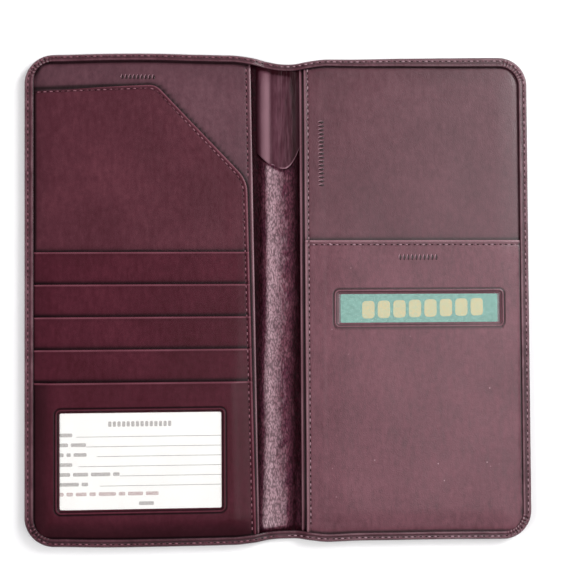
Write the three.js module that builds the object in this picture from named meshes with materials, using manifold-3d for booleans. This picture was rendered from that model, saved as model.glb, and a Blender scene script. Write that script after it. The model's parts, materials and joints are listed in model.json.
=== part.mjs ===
// Travel document organizer: a long bifold wallet in turned-edge leather, lying open and flat.
// The right half carries a gutter pocket, a second pocket and a passport pocket with a small
// window. The left half carries a ticket pocket with a cut corner, four stepped card slots and
// an identification window. A narrow spine between two creases carries a pen sleeve.
//
// Frame: millimetres. +X to the right half, +Y to the head edge, +Z up from the table.
// The origin is on the table, at the middle of the open wallet.
import * as THREE from "three";
import { mergeVertices } from "three/addons/utils/BufferGeometryUtils.js";
import Module from "manifold-3d";

const wasm = await Module();
wasm.setup();

// ---- driving dimensions -------------------------------------------------------------------

const OPEN_WIDTH = 242; // across both halves
const HEIGHT = 235; // along the spine
const CORNER_RADIUS = 14; // outer corners of the cover
const CREASE_X = 6.5; // each fold axis is this far from the middle of the spine
const CREASE_GAP = 0.75; // covers stop this far short of a fold axis
const DIP_DEPTH = 3.5; // head and tail edges draw in at the spine by this much
const DIP_REACH = 24; // and come back to full height this far from its middle

const BINDING_WIDTH = 4.5; // width of the edge tape, seen from above
const BINDING_SKIN = 0.6; // thickness of the tape
const BINDING_START_X = 8.6; // the halves' tape starts this far from the middle
const TUCK = 0.9; // pieces held by the tape stop this far inside the outer edge
const CLEAR = 0.3; // gap between neighbouring edges of separate pieces

// Heights of the layers above the table.
const SKIVE_TOP = 0.6; // the cover's edge is thinned to here from below, to take the tape
const COVER_TOP = 1.2;
const BOARD_TOP = 1.8;
const LINING_TOP = 2.0;
const BACK_PANEL = [2.3, 3.1];
const FRONT_PANEL = [3.3, 4.0];
const BINDING_TOP = 4.8;
const SPINE_BINDING_TOP = 2.4;

const SLOT_COUNT = 4;
const SLOT_PITCH = 15.4; // step from one card slot to the next
const SLOT_FIRST_Y = 22.2; // mouth of the uppermost slot
const SLOT_STRIP = 21; // height of the full-width part of a slot's leather
const SLOT_DEPTH = 56; // depth of the tab below it, which a card stands in
const SLOT_TAB_WIDTH = 90;
const SLOT_SKIN = 0.5;
const SLOT_BASE = 4.1; // underside of the first slot's leather

const ID_CARD = { width: 85.6, height: 54, radius: 3, low: 6.2, high: 6.45 };
const ID_WINDOW = { x: -66.4, y: -76.2, width: 77, height: 46.6, radius: 1.5 };
const ID_PANE = [6.55, 6.8];
const ID_PANEL = [6.8, 7.4];

const PASSPORT_MOUTH_Y = 27.7;
const PASSPORT_WINDOW = { x: 66.9, y: -5.2, width: 80.2, height: 15.8, radius: 1.3 };
const PASSPORT_LABEL = { width: 76.4, height: 13.6, radius: 0.8, low: 4.25, high: 4.5 };
const PASSPORT_PANE = [4.5, 4.7];
const PASSPORT_PANEL = [4.7, 5.4];
const PANE_OVERLAP = 3.5; // a pane reaches this far behind the leather round its window

const RIGHT_BACK_EDGE = { head: 9.5, tail: 9.5 }; // free edges beside the spine, as distances
const RIGHT_FRONT_EDGE = { head: 11.6, tail: 11.8 }; // from its middle at the head and the tail
const LEFT_BACK_EDGE = { head: 13.0, tail: 10.9 };
const LEFT_FRONT_EDGE = { head: 17.0, tail: 12.2 };

const TICKET_MOUTH = { outerY: 99.8, innerY: 102.4, turnX: 59.1, turn: 3.6 };
const TICKET_CUT = { endY: 56.6, turn: 6.5 }; // foot of the slanted cut, at the free edge

const SPINE_ROLL = { halfWidth: 4.9, top: 3.2, skin: 0.7 };
const ROLL_FLAT = 0.5; // thickness of the roll where the tape presses it flat
const ROLL_RAMP = 10; // length over which it rises from flat to its full arch
const SLEEVE = { halfWidth: 5.6, top: 4.0, skin: 0.6, mouthY: 60.2, mouthRise: 5.5 };

const ARC_STEPS = 8;
const DIP_STEPS = 6;
const ROLL_STEPS = 12;

const HALF_WIDTH = OPEN_WIDTH / 2;
const HALF_HEIGHT = HEIGHT / 2;
const COVER_START_X = CREASE_X + CREASE_GAP;
const SPINE_HALF = CREASE_X - CREASE_GAP;
const INNER_INSET = BINDING_WIDTH + CLEAR; // panels that end beside the tape's inner edge
const RIGHT = 1;
const LEFT = -1;

// ---- materials ----------------------------------------------------------------------------

const leather = (color, roughness) =>
  new THREE.MeshStandardMaterial({ color, roughness, metalness: 0 });
const COVER_LEATHER = leather("#5a3a42", 0.5);
const PANEL_LEATHER = leather("#6b4650", 0.42);
const POCKET_LEATHER = leather("#5b333d", 0.42);
const SPINE_LEATHER = leather("#66474f", 0.5);
const BINDING_LEATHER = leather("#573840", 0.48);
const LINING_FABRIC = leather("#3a2228", 0.9);
const BOARD_FIBRE = leather("#a89a84", 0.95);
const PAPER = leather("#f6f4ee", 0.8);
const LABEL_PAPER = leather("#86c1b0", 0.7);
const CLEAR_VINYL = new THREE.MeshStandardMaterial({
  color: "#e9edf0",
  roughness: 0.12,
  metalness: 0,
  transparent: true,
  opacity: 0.3,
});

// ---- outlines -----------------------------------------------------------------------------

// How far the head or tail edge draws in at distance x from the middle of the spine.
function dip(x) {
  const share = Math.min(Math.abs(x) / DIP_REACH, 1);
  return DIP_DEPTH * Math.cos((share * Math.PI) / 2) ** 2;
}

// Points along the head edge, from startX outwards to the corner, a given distance inside it.
function headEdge(startX, inset) {
  const points = [];
  for (let i = 0; i < DIP_STEPS; i += 1) {
    const x = startX + ((DIP_REACH - startX) * i) / DIP_STEPS;
    points.push(new THREE.Vector2(x, HALF_HEIGHT - dip(x) - inset));
  }
  points.push(new THREE.Vector2(DIP_REACH, HALF_HEIGHT - inset));
  return points;
}

// Quarter circle of the outer corner at the head, from the head edge round to the side edge.
function headCorner(inset) {
  const centre = new THREE.Vector2(HALF_WIDTH - CORNER_RADIUS, HALF_HEIGHT - CORNER_RADIUS);
  const points = [];
  for (let i = 0; i <= ARC_STEPS; i += 1) {
    const angle = (Math.PI / 2) * (1 - i / ARC_STEPS);
    const reach = new THREE.Vector2(Math.cos(angle), Math.sin(angle));
    points.push(reach.multiplyScalar(CORNER_RADIUS - inset).add(centre));
  }
  return points;
}

// Open line round a half: along the head edge, down the side and back along the tail edge.
function halfRail(startX, inset, tailStartX = startX) {
  const head = [...headEdge(startX, inset), ...headCorner(inset)];
  const tail = [...headEdge(tailStartX, inset), ...headCorner(inset)];
  const mirrored = tail.map((p) => new THREE.Vector2(p.x, -p.y)).reverse();
  return [...head, ...mirrored];
}

const shapeOf = (points, side) =>
  new THREE.Shape(points.map((p) => new THREE.Vector2(side * p.x, p.y)));

// Distance of a free edge from the middle at height y, for an edge that leans a little.
function edgeAt(edge, y) {
  return THREE.MathUtils.mapLinear(y, -HALF_HEIGHT, HALF_HEIGHT, edge.tail, edge.head);
}

// Outline of a full panel, with its outer sides a given distance inside the cover.
function fullPanel(side, inset, edge) {
  return shapeOf(halfRail(edge.head, inset, edge.tail), side);
}

// Outline of a panel that fills a half below mouthY.
function lowerPanel(side, inset, edge, mouthY) {
  const top = [
    new THREE.Vector2(edgeAt(edge, mouthY), mouthY),
    new THREE.Vector2(HALF_WIDTH - inset, mouthY),
  ];
  const corner = headCorner(inset).map((p) => new THREE.Vector2(p.x, -p.y));
  const foot = new THREE.Vector2(edge.tail, dip(edge.tail) + inset - HALF_HEIGHT);
  const reach = new THREE.Vector2(DIP_REACH, inset - HALF_HEIGHT);
  return shapeOf([...top, ...corner.reverse(), reach, foot], side);
}

function roundedRectangle({ x, y, width, height, radius }, PathType = THREE.Shape) {
  const path = new PathType();
  const right = x + width / 2 - radius;
  const left = x - width / 2 + radius;
  const head = y + height / 2 - radius;
  const tail = y - height / 2 + radius;
  path.absarc(right, head, radius, 0, Math.PI / 2);
  path.absarc(left, head, radius, Math.PI / 2, Math.PI);
  path.absarc(left, tail, radius, Math.PI, 1.5 * Math.PI);
  path.absarc(right, tail, radius, 1.5 * Math.PI, 2 * Math.PI);
  path.closePath();
  return path;
}

const behindWindow = (window) => ({
  ...window,
  width: window.width + 2 * PANE_OVERLAP,
  height: window.height + 2 * PANE_OVERLAP,
  radius: window.radius + 1,
});

// ---- solids -------------------------------------------------------------------------------

// Flat piece with the given outline between two heights.
function plate(shape, low, high) {
  const options = { depth: high - low, bevelEnabled: false, curveSegments: 4 };
  const geometry = new THREE.ExtrudeGeometry(shape, options);
  geometry.translate(0, 0, low);
  return geometry;
}

// Union of touching solids.
function join(...geometries) {
  const solids = geometries.map((geometry) => {
    const bare = geometry.clone();
    bare.deleteAttribute("normal");
    bare.deleteAttribute("uv");
    const merged = mergeVertices(bare, 1e-4);
    return new wasm.Manifold(
      new wasm.Mesh({
        numProp: 3,
        vertProperties: merged.attributes.position.array,
        triVerts: new Uint32Array(merged.index.array),
      }),
    );
  });
  const mesh = solids.reduce((all, next) => all.add(next)).getMesh();
  const geometry = new THREE.BufferGeometry();
  geometry.setAttribute("position", new THREE.BufferAttribute(mesh.vertProperties, 3));
  geometry.setIndex(new THREE.BufferAttribute(mesh.triVerts, 1));
  return geometry;
}

// Solid through a row of rings with equal point counts, closed by a flat cap at each end.
function loft(rings, section) {
  const count = section.length;
  const positions = rings.flat().flatMap((p) => [p.x, p.y, p.z]);
  const faces = [];
  for (let i = 0; i + 1 < rings.length; i += 1) {
    for (let j = 0; j < count; j += 1) {
      const a = i * count + j;
      const b = i * count + ((j + 1) % count);
      faces.push(a, b, b + count, a, b + count, a + count);
    }
  }
  const last = (rings.length - 1) * count;
  for (const [a, b, c] of THREE.ShapeUtils.triangulateShape(section, [])) {
    faces.push(c, b, a, last + a, last + b, last + c);
  }
  const geometry = new THREE.BufferGeometry();
  geometry.setAttribute("position", new THREE.Float32BufferAttribute(positions, 3));
  geometry.setIndex(faces);
  return geometry;
}

// Section of the edge tape: (distance inside the outer edge, height), a C open to the inside.
function tapeSection(top) {
  const lip = BINDING_SKIN;
  return [
    [BINDING_WIDTH, 0],
    [BINDING_WIDTH, lip],
    [lip, lip],
    [lip, top - lip],
    [BINDING_WIDTH, top - lip],
    [BINDING_WIDTH, top],
    [1.5, top],
    [0.6, top - 0.2],
    [0.15, top - 0.7],
    [0, top - 1.3],
    [0, 0.9],
    [0.2, 0.3],
    [0.7, 0],
  ].map(([inset, z]) => new THREE.Vector2(inset, z));
}

// Edge tape round a half.
function halfTape(side) {
  const section = tapeSection(BINDING_TOP);
  const rails = section.map(({ x: inset }) => halfRail(BINDING_START_X, inset));
  const rings = rails[0].map((_, i) =>
    section.map(({ y: z }, j) => new THREE.Vector3(side * rails[j][i].x, rails[j][i].y, z)),
  );
  return loft(side === LEFT ? rings : rings.reverse(), section);
}

// Short run of lower tape across the spine; end is 1 at the head and -1 at the tail.
function spineTape(end) {
  const section = tapeSection(SPINE_BINDING_TOP);
  const rings = [];
  for (let i = 0; i <= DIP_STEPS; i += 1) {
    const x = SPINE_HALF * ((2 * i) / DIP_STEPS - 1);
    const edge = HALF_HEIGHT - dip(x);
    rings.push(section.map((p) => new THREE.Vector3(x, end * (edge - p.x), p.y)));
  }
  return loft(end === -1 ? rings : rings.reverse(), section);
}

// Cover leather: full thickness inside the tape, thinned from below where the tape holds it.
function halfCover(side) {
  const edge = { head: COVER_START_X, tail: COVER_START_X };
  return join(
    plate(fullPanel(side, INNER_INSET, edge), 0, SKIVE_TOP),
    plate(fullPanel(side, TUCK, edge), SKIVE_TOP, COVER_TOP),
  );
}

// Outline of a strip down the spine.
function spineOutline(halfWidth, inset) {
  const head = [];
  for (let i = 0; i <= DIP_STEPS; i += 1) {
    const x = halfWidth * ((2 * i) / DIP_STEPS - 1);
    head.push(new THREE.Vector2(x, HALF_HEIGHT - dip(x) - inset));
  }
  const tail = head.map((p) => new THREE.Vector2(p.x, -p.y)).reverse();
  return new THREE.Shape([...head, ...tail]);
}

// Point pair of an elliptical arch over the spine, in the X-Z plane: the outer skin and the
// inner skin at the given angle from +X.
function archPoints({ halfWidth, top, skin }, angle) {
  const across = Math.cos(angle);
  const up = Math.sin(angle);
  return {
    outer: new THREE.Vector2(halfWidth * across, (top - COVER_TOP) * up),
    inner: new THREE.Vector2((halfWidth - skin) * across, (top - COVER_TOP - skin) * up),
  };
}

// Spine lining: an arched roll, pressed flat at each end where the tape holds it.
function spineLining() {
  const held = HALF_HEIGHT - DIP_DEPTH - TUCK;
  const free = HALF_HEIGHT - DIP_DEPTH - INNER_INSET;
  const stations = [
    [-held, 0],
    [-free, 0],
    [ROLL_RAMP - free, 1],
    [free - ROLL_RAMP, 1],
    [free, 0],
    [held, 0],
  ];
  const angles = Array.from({ length: ROLL_STEPS + 1 }, (_, i) => (Math.PI * i) / ROLL_STEPS);
  const arch = angles.map((angle) => archPoints(SPINE_ROLL, angle));
  const sectionAt = (rise) => [
    ...arch.map(({ outer }) => [outer.x, rise * outer.y + (1 - rise) * ROLL_FLAT]),
    ...arch.map(({ inner }) => [inner.x, rise * inner.y]).reverse(),
  ];
  const rings = stations.map(([y, rise]) =>
    sectionAt(rise).map(([x, z]) => new THREE.Vector3(x, y, COVER_TOP + z)),
  );
  const flatEnd = sectionAt(0).map(([x, z]) => new THREE.Vector2(x, z));
  return loft(rings.reverse(), flatEnd);
}

// Pen sleeve: a second arched skin over the head end of the roll, with a curved mouth.
function penSleeve() {
  const headY = HALF_HEIGHT - DIP_DEPTH - INNER_INSET;
  const rings = [];
  for (let i = 0; i <= ROLL_STEPS; i += 1) {
    const { outer, inner } = archPoints(SLEEVE, (Math.PI * i) / ROLL_STEPS);
    const mouthY = SLEEVE.mouthY + SLEEVE.mouthRise * (outer.x / SLEEVE.halfWidth) ** 2;
    const corners = [
      [outer, mouthY],
      [outer, headY],
      [inner, headY],
      [inner, mouthY],
    ];
    rings.push(corners.map(([p, y]) => new THREE.Vector3(p.x, y, COVER_TOP + p.y)));
  }
  const square = [
    [0, 0],
    [1, 0],
    [1, 1],
    [0, 1],
  ].map(([u, v]) => new THREE.Vector2(u, v));
  return loft(rings, square);
}

// Ticket pocket: full width at the foot, with a slanted cut from the mouth to the free edge.
function ticketPocket() {
  const foot = lowerPanel(LEFT, TUCK, LEFT_FRONT_EDGE, 0).getPoints();
  const shape = new THREE.Shape(foot.slice(1, -1));
  const mouthX = TUCK - HALF_WIDTH;
  const { outerY, innerY, turnX, turn } = TICKET_MOUTH;
  const freeX = -edgeAt(LEFT_FRONT_EDGE, TICKET_CUT.endY);
  const slope = new THREE.Vector2(freeX + turnX, TICKET_CUT.endY - innerY).normalize();
  const tailX = -LEFT_FRONT_EDGE.tail;
  shape.lineTo(tailX, TUCK + dip(tailX) - HALF_HEIGHT);
  shape.lineTo(freeX, TICKET_CUT.endY - TICKET_CUT.turn);
  shape.quadraticCurveTo(
    freeX,
    TICKET_CUT.endY,
    freeX - slope.x * TICKET_CUT.turn,
    TICKET_CUT.endY - slope.y * TICKET_CUT.turn,
  );
  shape.lineTo(slope.x * turn - turnX, slope.y * turn + innerY);
  shape.quadraticCurveTo(-turnX, innerY, -turnX - turn, innerY);
  shape.lineTo(mouthX, outerY);
  shape.closePath();
  return plate(shape, ...FRONT_PANEL);
}

// One card slot: a full-width strip with a narrower tab below it, in the outline of a T.
function cardSlot(index) {
  const mouthY = SLOT_FIRST_Y - index * SLOT_PITCH;
  const stripY = mouthY - SLOT_STRIP;
  const tabY = mouthY - SLOT_DEPTH;
  const outerX = INNER_INSET - HALF_WIDTH;
  const freeX = (y) => -edgeAt(LEFT_FRONT_EDGE, y);
  const middle = (outerX + freeX(mouthY)) / 2;
  const tabLeft = middle - SLOT_TAB_WIDTH / 2;
  const tabRight = middle + SLOT_TAB_WIDTH / 2;
  const outline = [
    [outerX, mouthY],
    [outerX, stripY],
    [tabLeft, stripY],
    [tabLeft, tabY],
    [tabRight, tabY],
    [tabRight, stripY],
    [freeX(stripY), stripY],
    [freeX(mouthY), mouthY],
  ].map(([x, y]) => new THREE.Vector2(x, y));
  const low = SLOT_BASE + index * SLOT_SKIN;
  return plate(new THREE.Shape(outline), low, low + SLOT_SKIN);
}

// Panel with a window cut through it.
function windowPanel(shape, window, [low, high]) {
  shape.holes.push(roundedRectangle(window, THREE.Path));
  return plate(shape, low, high);
}

// ---- assembly -----------------------------------------------------------------------------

function part(name, geometry, material) {
  const mesh = new THREE.Mesh(geometry, material);
  mesh.name = name;
  return mesh;
}

// Pieces that both halves have: cover, stiffener, lining and edge tape.
function halfShell(side, name) {
  const liningEdge = { head: BINDING_START_X, tail: BINDING_START_X };
  const boardEdge = { head: 12, tail: 12 };
  const boardShape = fullPanel(side, INNER_INSET + 1, boardEdge);
  const liningShape = fullPanel(side, INNER_INSET, liningEdge);
  return [
    part(`outer_cover_${name}`, halfCover(side), COVER_LEATHER),
    part(`stiffener_board_${name}`, plate(boardShape, COVER_TOP, BOARD_TOP), BOARD_FIBRE),
    part(`lining_${name}`, plate(liningShape, BOARD_TOP, LINING_TOP), LINING_FABRIC),
    part(`edge_binding_${name}`, halfTape(side), BINDING_LEATHER),
  ];
}

function rightHalf() {
  const group = new THREE.Group();
  const backShape = fullPanel(RIGHT, TUCK, RIGHT_BACK_EDGE);
  const frontShape = fullPanel(RIGHT, TUCK, RIGHT_FRONT_EDGE);
  const pocketShape = lowerPanel(RIGHT, INNER_INSET, RIGHT_FRONT_EDGE, PASSPORT_MOUTH_Y);
  const label = { ...PASSPORT_WINDOW, ...PASSPORT_LABEL };
  const pane = roundedRectangle(behindWindow(PASSPORT_WINDOW));
  group.add(
    ...halfShell(RIGHT, "right"),
    part("gutter_pocket_panel", plate(backShape, ...BACK_PANEL), PANEL_LEATHER),
    part("document_pocket_panel", plate(frontShape, ...FRONT_PANEL), PANEL_LEATHER),
    part("window_label_card", plate(roundedRectangle(label), label.low, label.high), LABEL_PAPER),
    part("passport_window_pane", plate(pane, ...PASSPORT_PANE), CLEAR_VINYL),
    part(
      "passport_pocket_front",
      windowPanel(pocketShape, PASSPORT_WINDOW, PASSPORT_PANEL),
      PANEL_LEATHER,
    ),
  );
  return group;
}

function spine() {
  const group = new THREE.Group();
  const cover = join(
    plate(spineOutline(SPINE_HALF, INNER_INSET), 0, SKIVE_TOP),
    plate(spineOutline(SPINE_HALF, TUCK), SKIVE_TOP, COVER_TOP),
  );
  group.add(
    part("spine_cover", cover, COVER_LEATHER),
    part("spine_lining", spineLining(), SPINE_LEATHER),
    part("pen_sleeve", penSleeve(), SPINE_LEATHER),
    part("spine_binding_head", spineTape(1), BINDING_LEATHER),
    part("spine_binding_tail", spineTape(-1), BINDING_LEATHER),
  );
  return group;
}

function leftHalf() {
  const group = new THREE.Group();
  const backShape = fullPanel(LEFT, TUCK, LEFT_BACK_EDGE);
  const idMouthY = SLOT_FIRST_Y - SLOT_COUNT * SLOT_PITCH;
  const idShape = lowerPanel(LEFT, INNER_INSET, LEFT_FRONT_EDGE, idMouthY);
  const card = { ...ID_WINDOW, ...ID_CARD };
  group.add(
    ...halfShell(LEFT, "left"),
    part("ticket_back_panel", plate(backShape, ...BACK_PANEL), POCKET_LEATHER),
    part("ticket_pocket_front", ticketPocket(), POCKET_LEATHER),
  );
  for (let i = 0; i < SLOT_COUNT; i += 1) {
    group.add(part(`card_slot_${i + 1}`, cardSlot(i), POCKET_LEATHER));
  }
  group.add(
    part("id_insert_card", plate(roundedRectangle(card), card.low, card.high), PAPER),
    part("id_window_pane", plate(roundedRectangle(behindWindow(ID_WINDOW)), ...ID_PANE), CLEAR_VINYL),
    part("id_window_panel", windowPanel(idShape, ID_WINDOW, ID_PANEL), POCKET_LEATHER),
  );
  return group;
}

const organizer = new THREE.Group();
organizer.add(rightHalf(), spine(), leftHalf());

export default organizer;
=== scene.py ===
"""Travel document organizer: a long bifold wallet in burgundy leather, lying open.

Every piece is a surface worked out in millimetres and stored in metres, in the frame of the
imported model: +X to the half with the passport pocket, +Y along the spine to the head edge,
+Z up from the table, origin on the table at the middle of the open wallet.
"""
import json
import math

import bpy
import numpy as np
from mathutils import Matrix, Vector


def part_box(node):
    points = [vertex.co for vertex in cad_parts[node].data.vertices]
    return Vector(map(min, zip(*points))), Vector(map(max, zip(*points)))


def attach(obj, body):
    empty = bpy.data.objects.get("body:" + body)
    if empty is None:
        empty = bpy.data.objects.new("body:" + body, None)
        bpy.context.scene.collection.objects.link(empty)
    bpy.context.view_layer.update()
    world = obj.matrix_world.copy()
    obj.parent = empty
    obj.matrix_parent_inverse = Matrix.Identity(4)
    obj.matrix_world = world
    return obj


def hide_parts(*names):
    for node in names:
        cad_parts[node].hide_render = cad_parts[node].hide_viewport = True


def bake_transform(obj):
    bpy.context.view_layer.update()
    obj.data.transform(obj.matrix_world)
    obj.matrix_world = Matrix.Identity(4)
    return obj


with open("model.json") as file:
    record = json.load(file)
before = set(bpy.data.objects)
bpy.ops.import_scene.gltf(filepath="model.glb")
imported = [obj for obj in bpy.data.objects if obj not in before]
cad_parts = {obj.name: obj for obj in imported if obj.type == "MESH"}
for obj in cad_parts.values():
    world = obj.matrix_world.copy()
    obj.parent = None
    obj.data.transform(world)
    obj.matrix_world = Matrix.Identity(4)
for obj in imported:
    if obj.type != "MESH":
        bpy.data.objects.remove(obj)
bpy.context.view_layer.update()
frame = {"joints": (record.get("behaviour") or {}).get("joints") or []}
MM = 0.001


# ---- camera -------------------------------------------------------------------------------

def camera(place, turn, lens):
    """Camera almost straight above the wallet: place in millimetres, turn in radians."""
    data = bpy.data.cameras.new("camera")
    data.sensor_width = 36.0
    data.lens = lens
    obj = bpy.data.objects.new("camera", data)
    obj.location = Vector(place) * MM
    obj.rotation_euler = turn
    bpy.context.scene.collection.objects.link(obj)
    bpy.context.scene.camera = obj


camera((-26.75, -7.67, 481.8), (0.0243, -0.0650, -0.0061), 62.07)


# ---- places taken from the frame ----------------------------------------------------------

def box_mm(node):
    """Lowest and highest corners of a node, in millimetres."""
    low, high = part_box(node)
    return np.array(low) / MM, np.array(high) / MM


HALF_WIDTH, HALF_HEIGHT, TAPE_TOP = box_mm("edge_binding_right")[1]
CREASE_X = 1000 * frame["joints"][0]["pos_m"][0]
CORNER_RADIUS = 14.0
DIP_DEPTH, DIP_REACH = 3.5, 24.0
TAPE_WIDTH = 4.5
UNDER_TAPE = 1.6  # panels run on under the tape to this far inside the outer edge
STITCH_PITCH = 2.8
WORD = {1: "right", -1: "left"}  # a half by the sign of its x


# ---- smooth functions ---------------------------------------------------------------------

def smooth(value, start, end):
    """0 before start, 1 after end, and the cubic 3t^2 - 2t^3 between them."""
    t = np.clip((np.asarray(value, float) - start) / (end - start), 0, 1)
    return t * t * (3 - 2 * t)


def bell(value, centre, width):
    """Gaussian bump of height 1."""
    return np.exp(-(((np.asarray(value, float) - centre) / width) ** 2))


def noise(x, y, size_x, size_y, seed):
    """Smooth random relief between -1 and 1: seeded values on a lattice of size_x by size_y
    millimetres, joined by cubic steps."""
    table = np.random.default_rng(seed).uniform(-1, 1, (64, 64))
    gx, gy = np.asarray(x, float) / size_x + 31.7, np.asarray(y, float) / size_y + 17.3
    ix, iy = np.floor(gx).astype(int), np.floor(gy).astype(int)
    fx, fy = smooth(gx - ix, 0, 1), smooth(gy - iy, 0, 1)
    left, right, low, high = ix % 64, (ix + 1) % 64, iy % 64, (iy + 1) % 64
    near = table[low, left] * (1 - fx) + table[low, right] * fx
    far = table[high, left] * (1 - fx) + table[high, right] * fx
    return near * (1 - fy) + far * fy


def through(x, stations):
    """Smooth curve through (place, value) stations: cubic Hermite pieces whose slope at each
    station is the slope between its neighbours."""
    at, value = np.array(stations, float).T
    slope = np.gradient(value, at)
    x = np.clip(np.asarray(x, float), at[0], at[-1])
    k = np.clip(np.searchsorted(at, x) - 1, 0, len(at) - 2)
    run = at[k + 1] - at[k]
    t = (x - at[k]) / run
    start = value[k] * (1 + 2 * t) * (1 - t) ** 2 + slope[k] * run * t * (1 - t) ** 2
    end = value[k + 1] * t**2 * (3 - 2 * t) - slope[k + 1] * run * t**2 * (1 - t)
    return start + end


def distance_to(x, y, line):
    """Distance from each point to a polyline: the least distance to any of its segments, and
    the length along the line at the nearest point."""
    line = np.asarray(line, float)
    best = np.full(np.shape(x), 1e9)
    along = np.zeros(np.shape(x))
    run = 0.0
    for a, b in zip(line[:-1], line[1:]):
        d = b - a
        length = np.hypot(*d)
        t = np.clip(((x - a[0]) * d[0] + (y - a[1]) * d[1]) / length**2, 0, 1)
        gap = np.hypot(x - a[0] - t * d[0], y - a[1] - t * d[1])
        closer = gap < best
        best = np.where(closer, gap, best)
        along = np.where(closer, run + t * length, along)
        run += length
    return best, along


def graded(start, end, step, *fine):
    """Values from start to end whose spacing is step, but closer round each fine place
    (place, reach, spacing): there it is that spacing, and it widens by a quarter of the
    distance beyond the reach."""
    x = np.linspace(start, end, 8001)
    gap = np.full_like(x, step)
    for place, reach, spacing in fine:
        gap = np.minimum(gap, spacing + 0.25 * np.maximum(np.abs(x - place) - reach, 0))
    rate = (1 / gap[1:] + 1 / gap[:-1]) / 2 * np.abs(np.diff(x))
    count = np.concatenate([[0], np.cumsum(rate)])
    return np.interp(np.linspace(0, count[-1], math.ceil(count[-1]) + 1), count, x)


# ---- outline of the wallet ----------------------------------------------------------------

# how far the head and the tail edge bow in between the corners, as (x, distance)
HEAD_BOW = [
    (-121, 1.7), (-104, 1.5), (-85, 0.8), (-61, 0.4), (-37, 0.75), (-18, 0.8), (-7, 0.4), (2, 1.1),
    (11, 2.0), (30, 2.3), (58, 1.6), (82, 1.1), (106, 0.7), (121, 0.6),
]
TAIL_BOW = [
    (-121, 1.2), (-104, 1.0), (-85, 0.4), (-61, 0.2), (-37, 0.2), (-18, 0.1), (-7, -0.9), (2, -1.0),
    (11, 0.1), (30, 1.0), (58, 1.0), (82, 0.9), (106, 0.5), (121, 0.4),
]


def dip(x, y):
    """How far the head (y above 0) or tail edge draws in at x: a squared cosine, deepest at
    the spine, and the slight bow of soft leather."""
    share = np.clip(np.abs(x) / DIP_REACH, 0, 1)
    bow = np.where(np.asarray(y) > 0, through(x, HEAD_BOW), through(x, TAIL_BOW))
    return DIP_DEPTH * np.cos(share * math.pi / 2) ** 2 + bow


def drawn_in(x, y):
    """Height y pulled in near head and tail by as much as the outline dips there."""
    return y - np.sign(y) * dip(x, y) * smooth(np.abs(y), 60, 112)


def side_x(y, inset):
    """Distance of the side edge from the middle at height y: straight, then a corner arc."""
    past = np.clip(np.abs(y) - (HALF_HEIGHT - CORNER_RADIUS), 0, CORNER_RADIUS - inset)
    radius = CORNER_RADIUS - inset
    return HALF_WIDTH - CORNER_RADIUS + np.sqrt(np.maximum(radius**2 - past**2, 0))


def tape_width(x, y):
    """Width of the edge tape: full along the sides, a little less at the tail, and least at
    the head, where it widens again from the spine to the right corner."""
    at_head = 1.0 - 1.2 * smooth(x, 10, 100)
    return TAPE_WIDTH - at_head * smooth(y, 102, 113) - 0.35 * smooth(-y, 102, 113)


def rim_distance(x, y):
    """How far a point lies inside the outer edge, measured in widths of the tape and then
    stated for its full width."""
    level = np.abs(y) + dip(x, y) * smooth(np.abs(y), 58, 110)
    inside = np.minimum(side_x(level, 0) - np.abs(x), HALF_HEIGHT - level)
    return inside + TAPE_WIDTH - tape_width(x, y)


def outline(side):
    """Outer edge of one half, with x measured outwards: from the spine at the head round to
    the spine at the tail, in steps under a millimetre."""
    centre = [HALF_WIDTH - CORNER_RADIUS, HALF_HEIGHT - CORNER_RADIUS]
    x = graded(0, centre[0], 0.8, (0, 12, 0.4))
    head = np.stack([x, np.full_like(x, HALF_HEIGHT)], 1)
    angle = np.linspace(math.pi / 2, 0, 76)[1:]
    arc = np.stack([np.cos(angle), np.sin(angle)], 1) * CORNER_RADIUS + centre
    side_y = np.linspace(centre[1], 0, 140)[1:]
    edge = np.stack([np.full_like(side_y, HALF_WIDTH), side_y], 1)
    upper = np.concatenate([head, arc, edge])
    line = np.concatenate([upper, (upper * [1, -1])[::-1][1:]])
    line[:, 1] = drawn_in(side * line[:, 0], line[:, 1])
    return line


def normals_of(line):
    """Unit vectors to the right of travel along a polyline."""
    t = np.gradient(line, axis=0)
    t /= np.linalg.norm(t, axis=1)[:, None]
    return np.stack([t[:, 1], -t[:, 0]], 1)


def length_along(line):
    """Length of a polyline from its start to each of its points."""
    return np.concatenate([[0], np.cumsum(np.linalg.norm(np.diff(line, axis=0), axis=1))])


def walk(line, step, start=0.0, stop=0.0):
    """Points and directions every step along a polyline, leaving out start and stop."""
    line = np.asarray(line, float)
    run = length_along(line)
    count = int((run[-1] - start - stop) / step)
    marks = start + step * (np.arange(count) + 0.5)
    points = np.stack([np.interp(marks, run, line[:, i]) for i in (0, 1)], 1)
    ahead = np.stack([np.interp(marks + 0.3, run, line[:, i]) for i in (0, 1)], 1)
    direction = ahead - points
    return points, direction / np.linalg.norm(direction, axis=1)[:, None]


SQUARE = np.array([[1, 1], [-1, 1], [-1, -1], [1, -1]])  # corners, counter-clockwise


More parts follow.
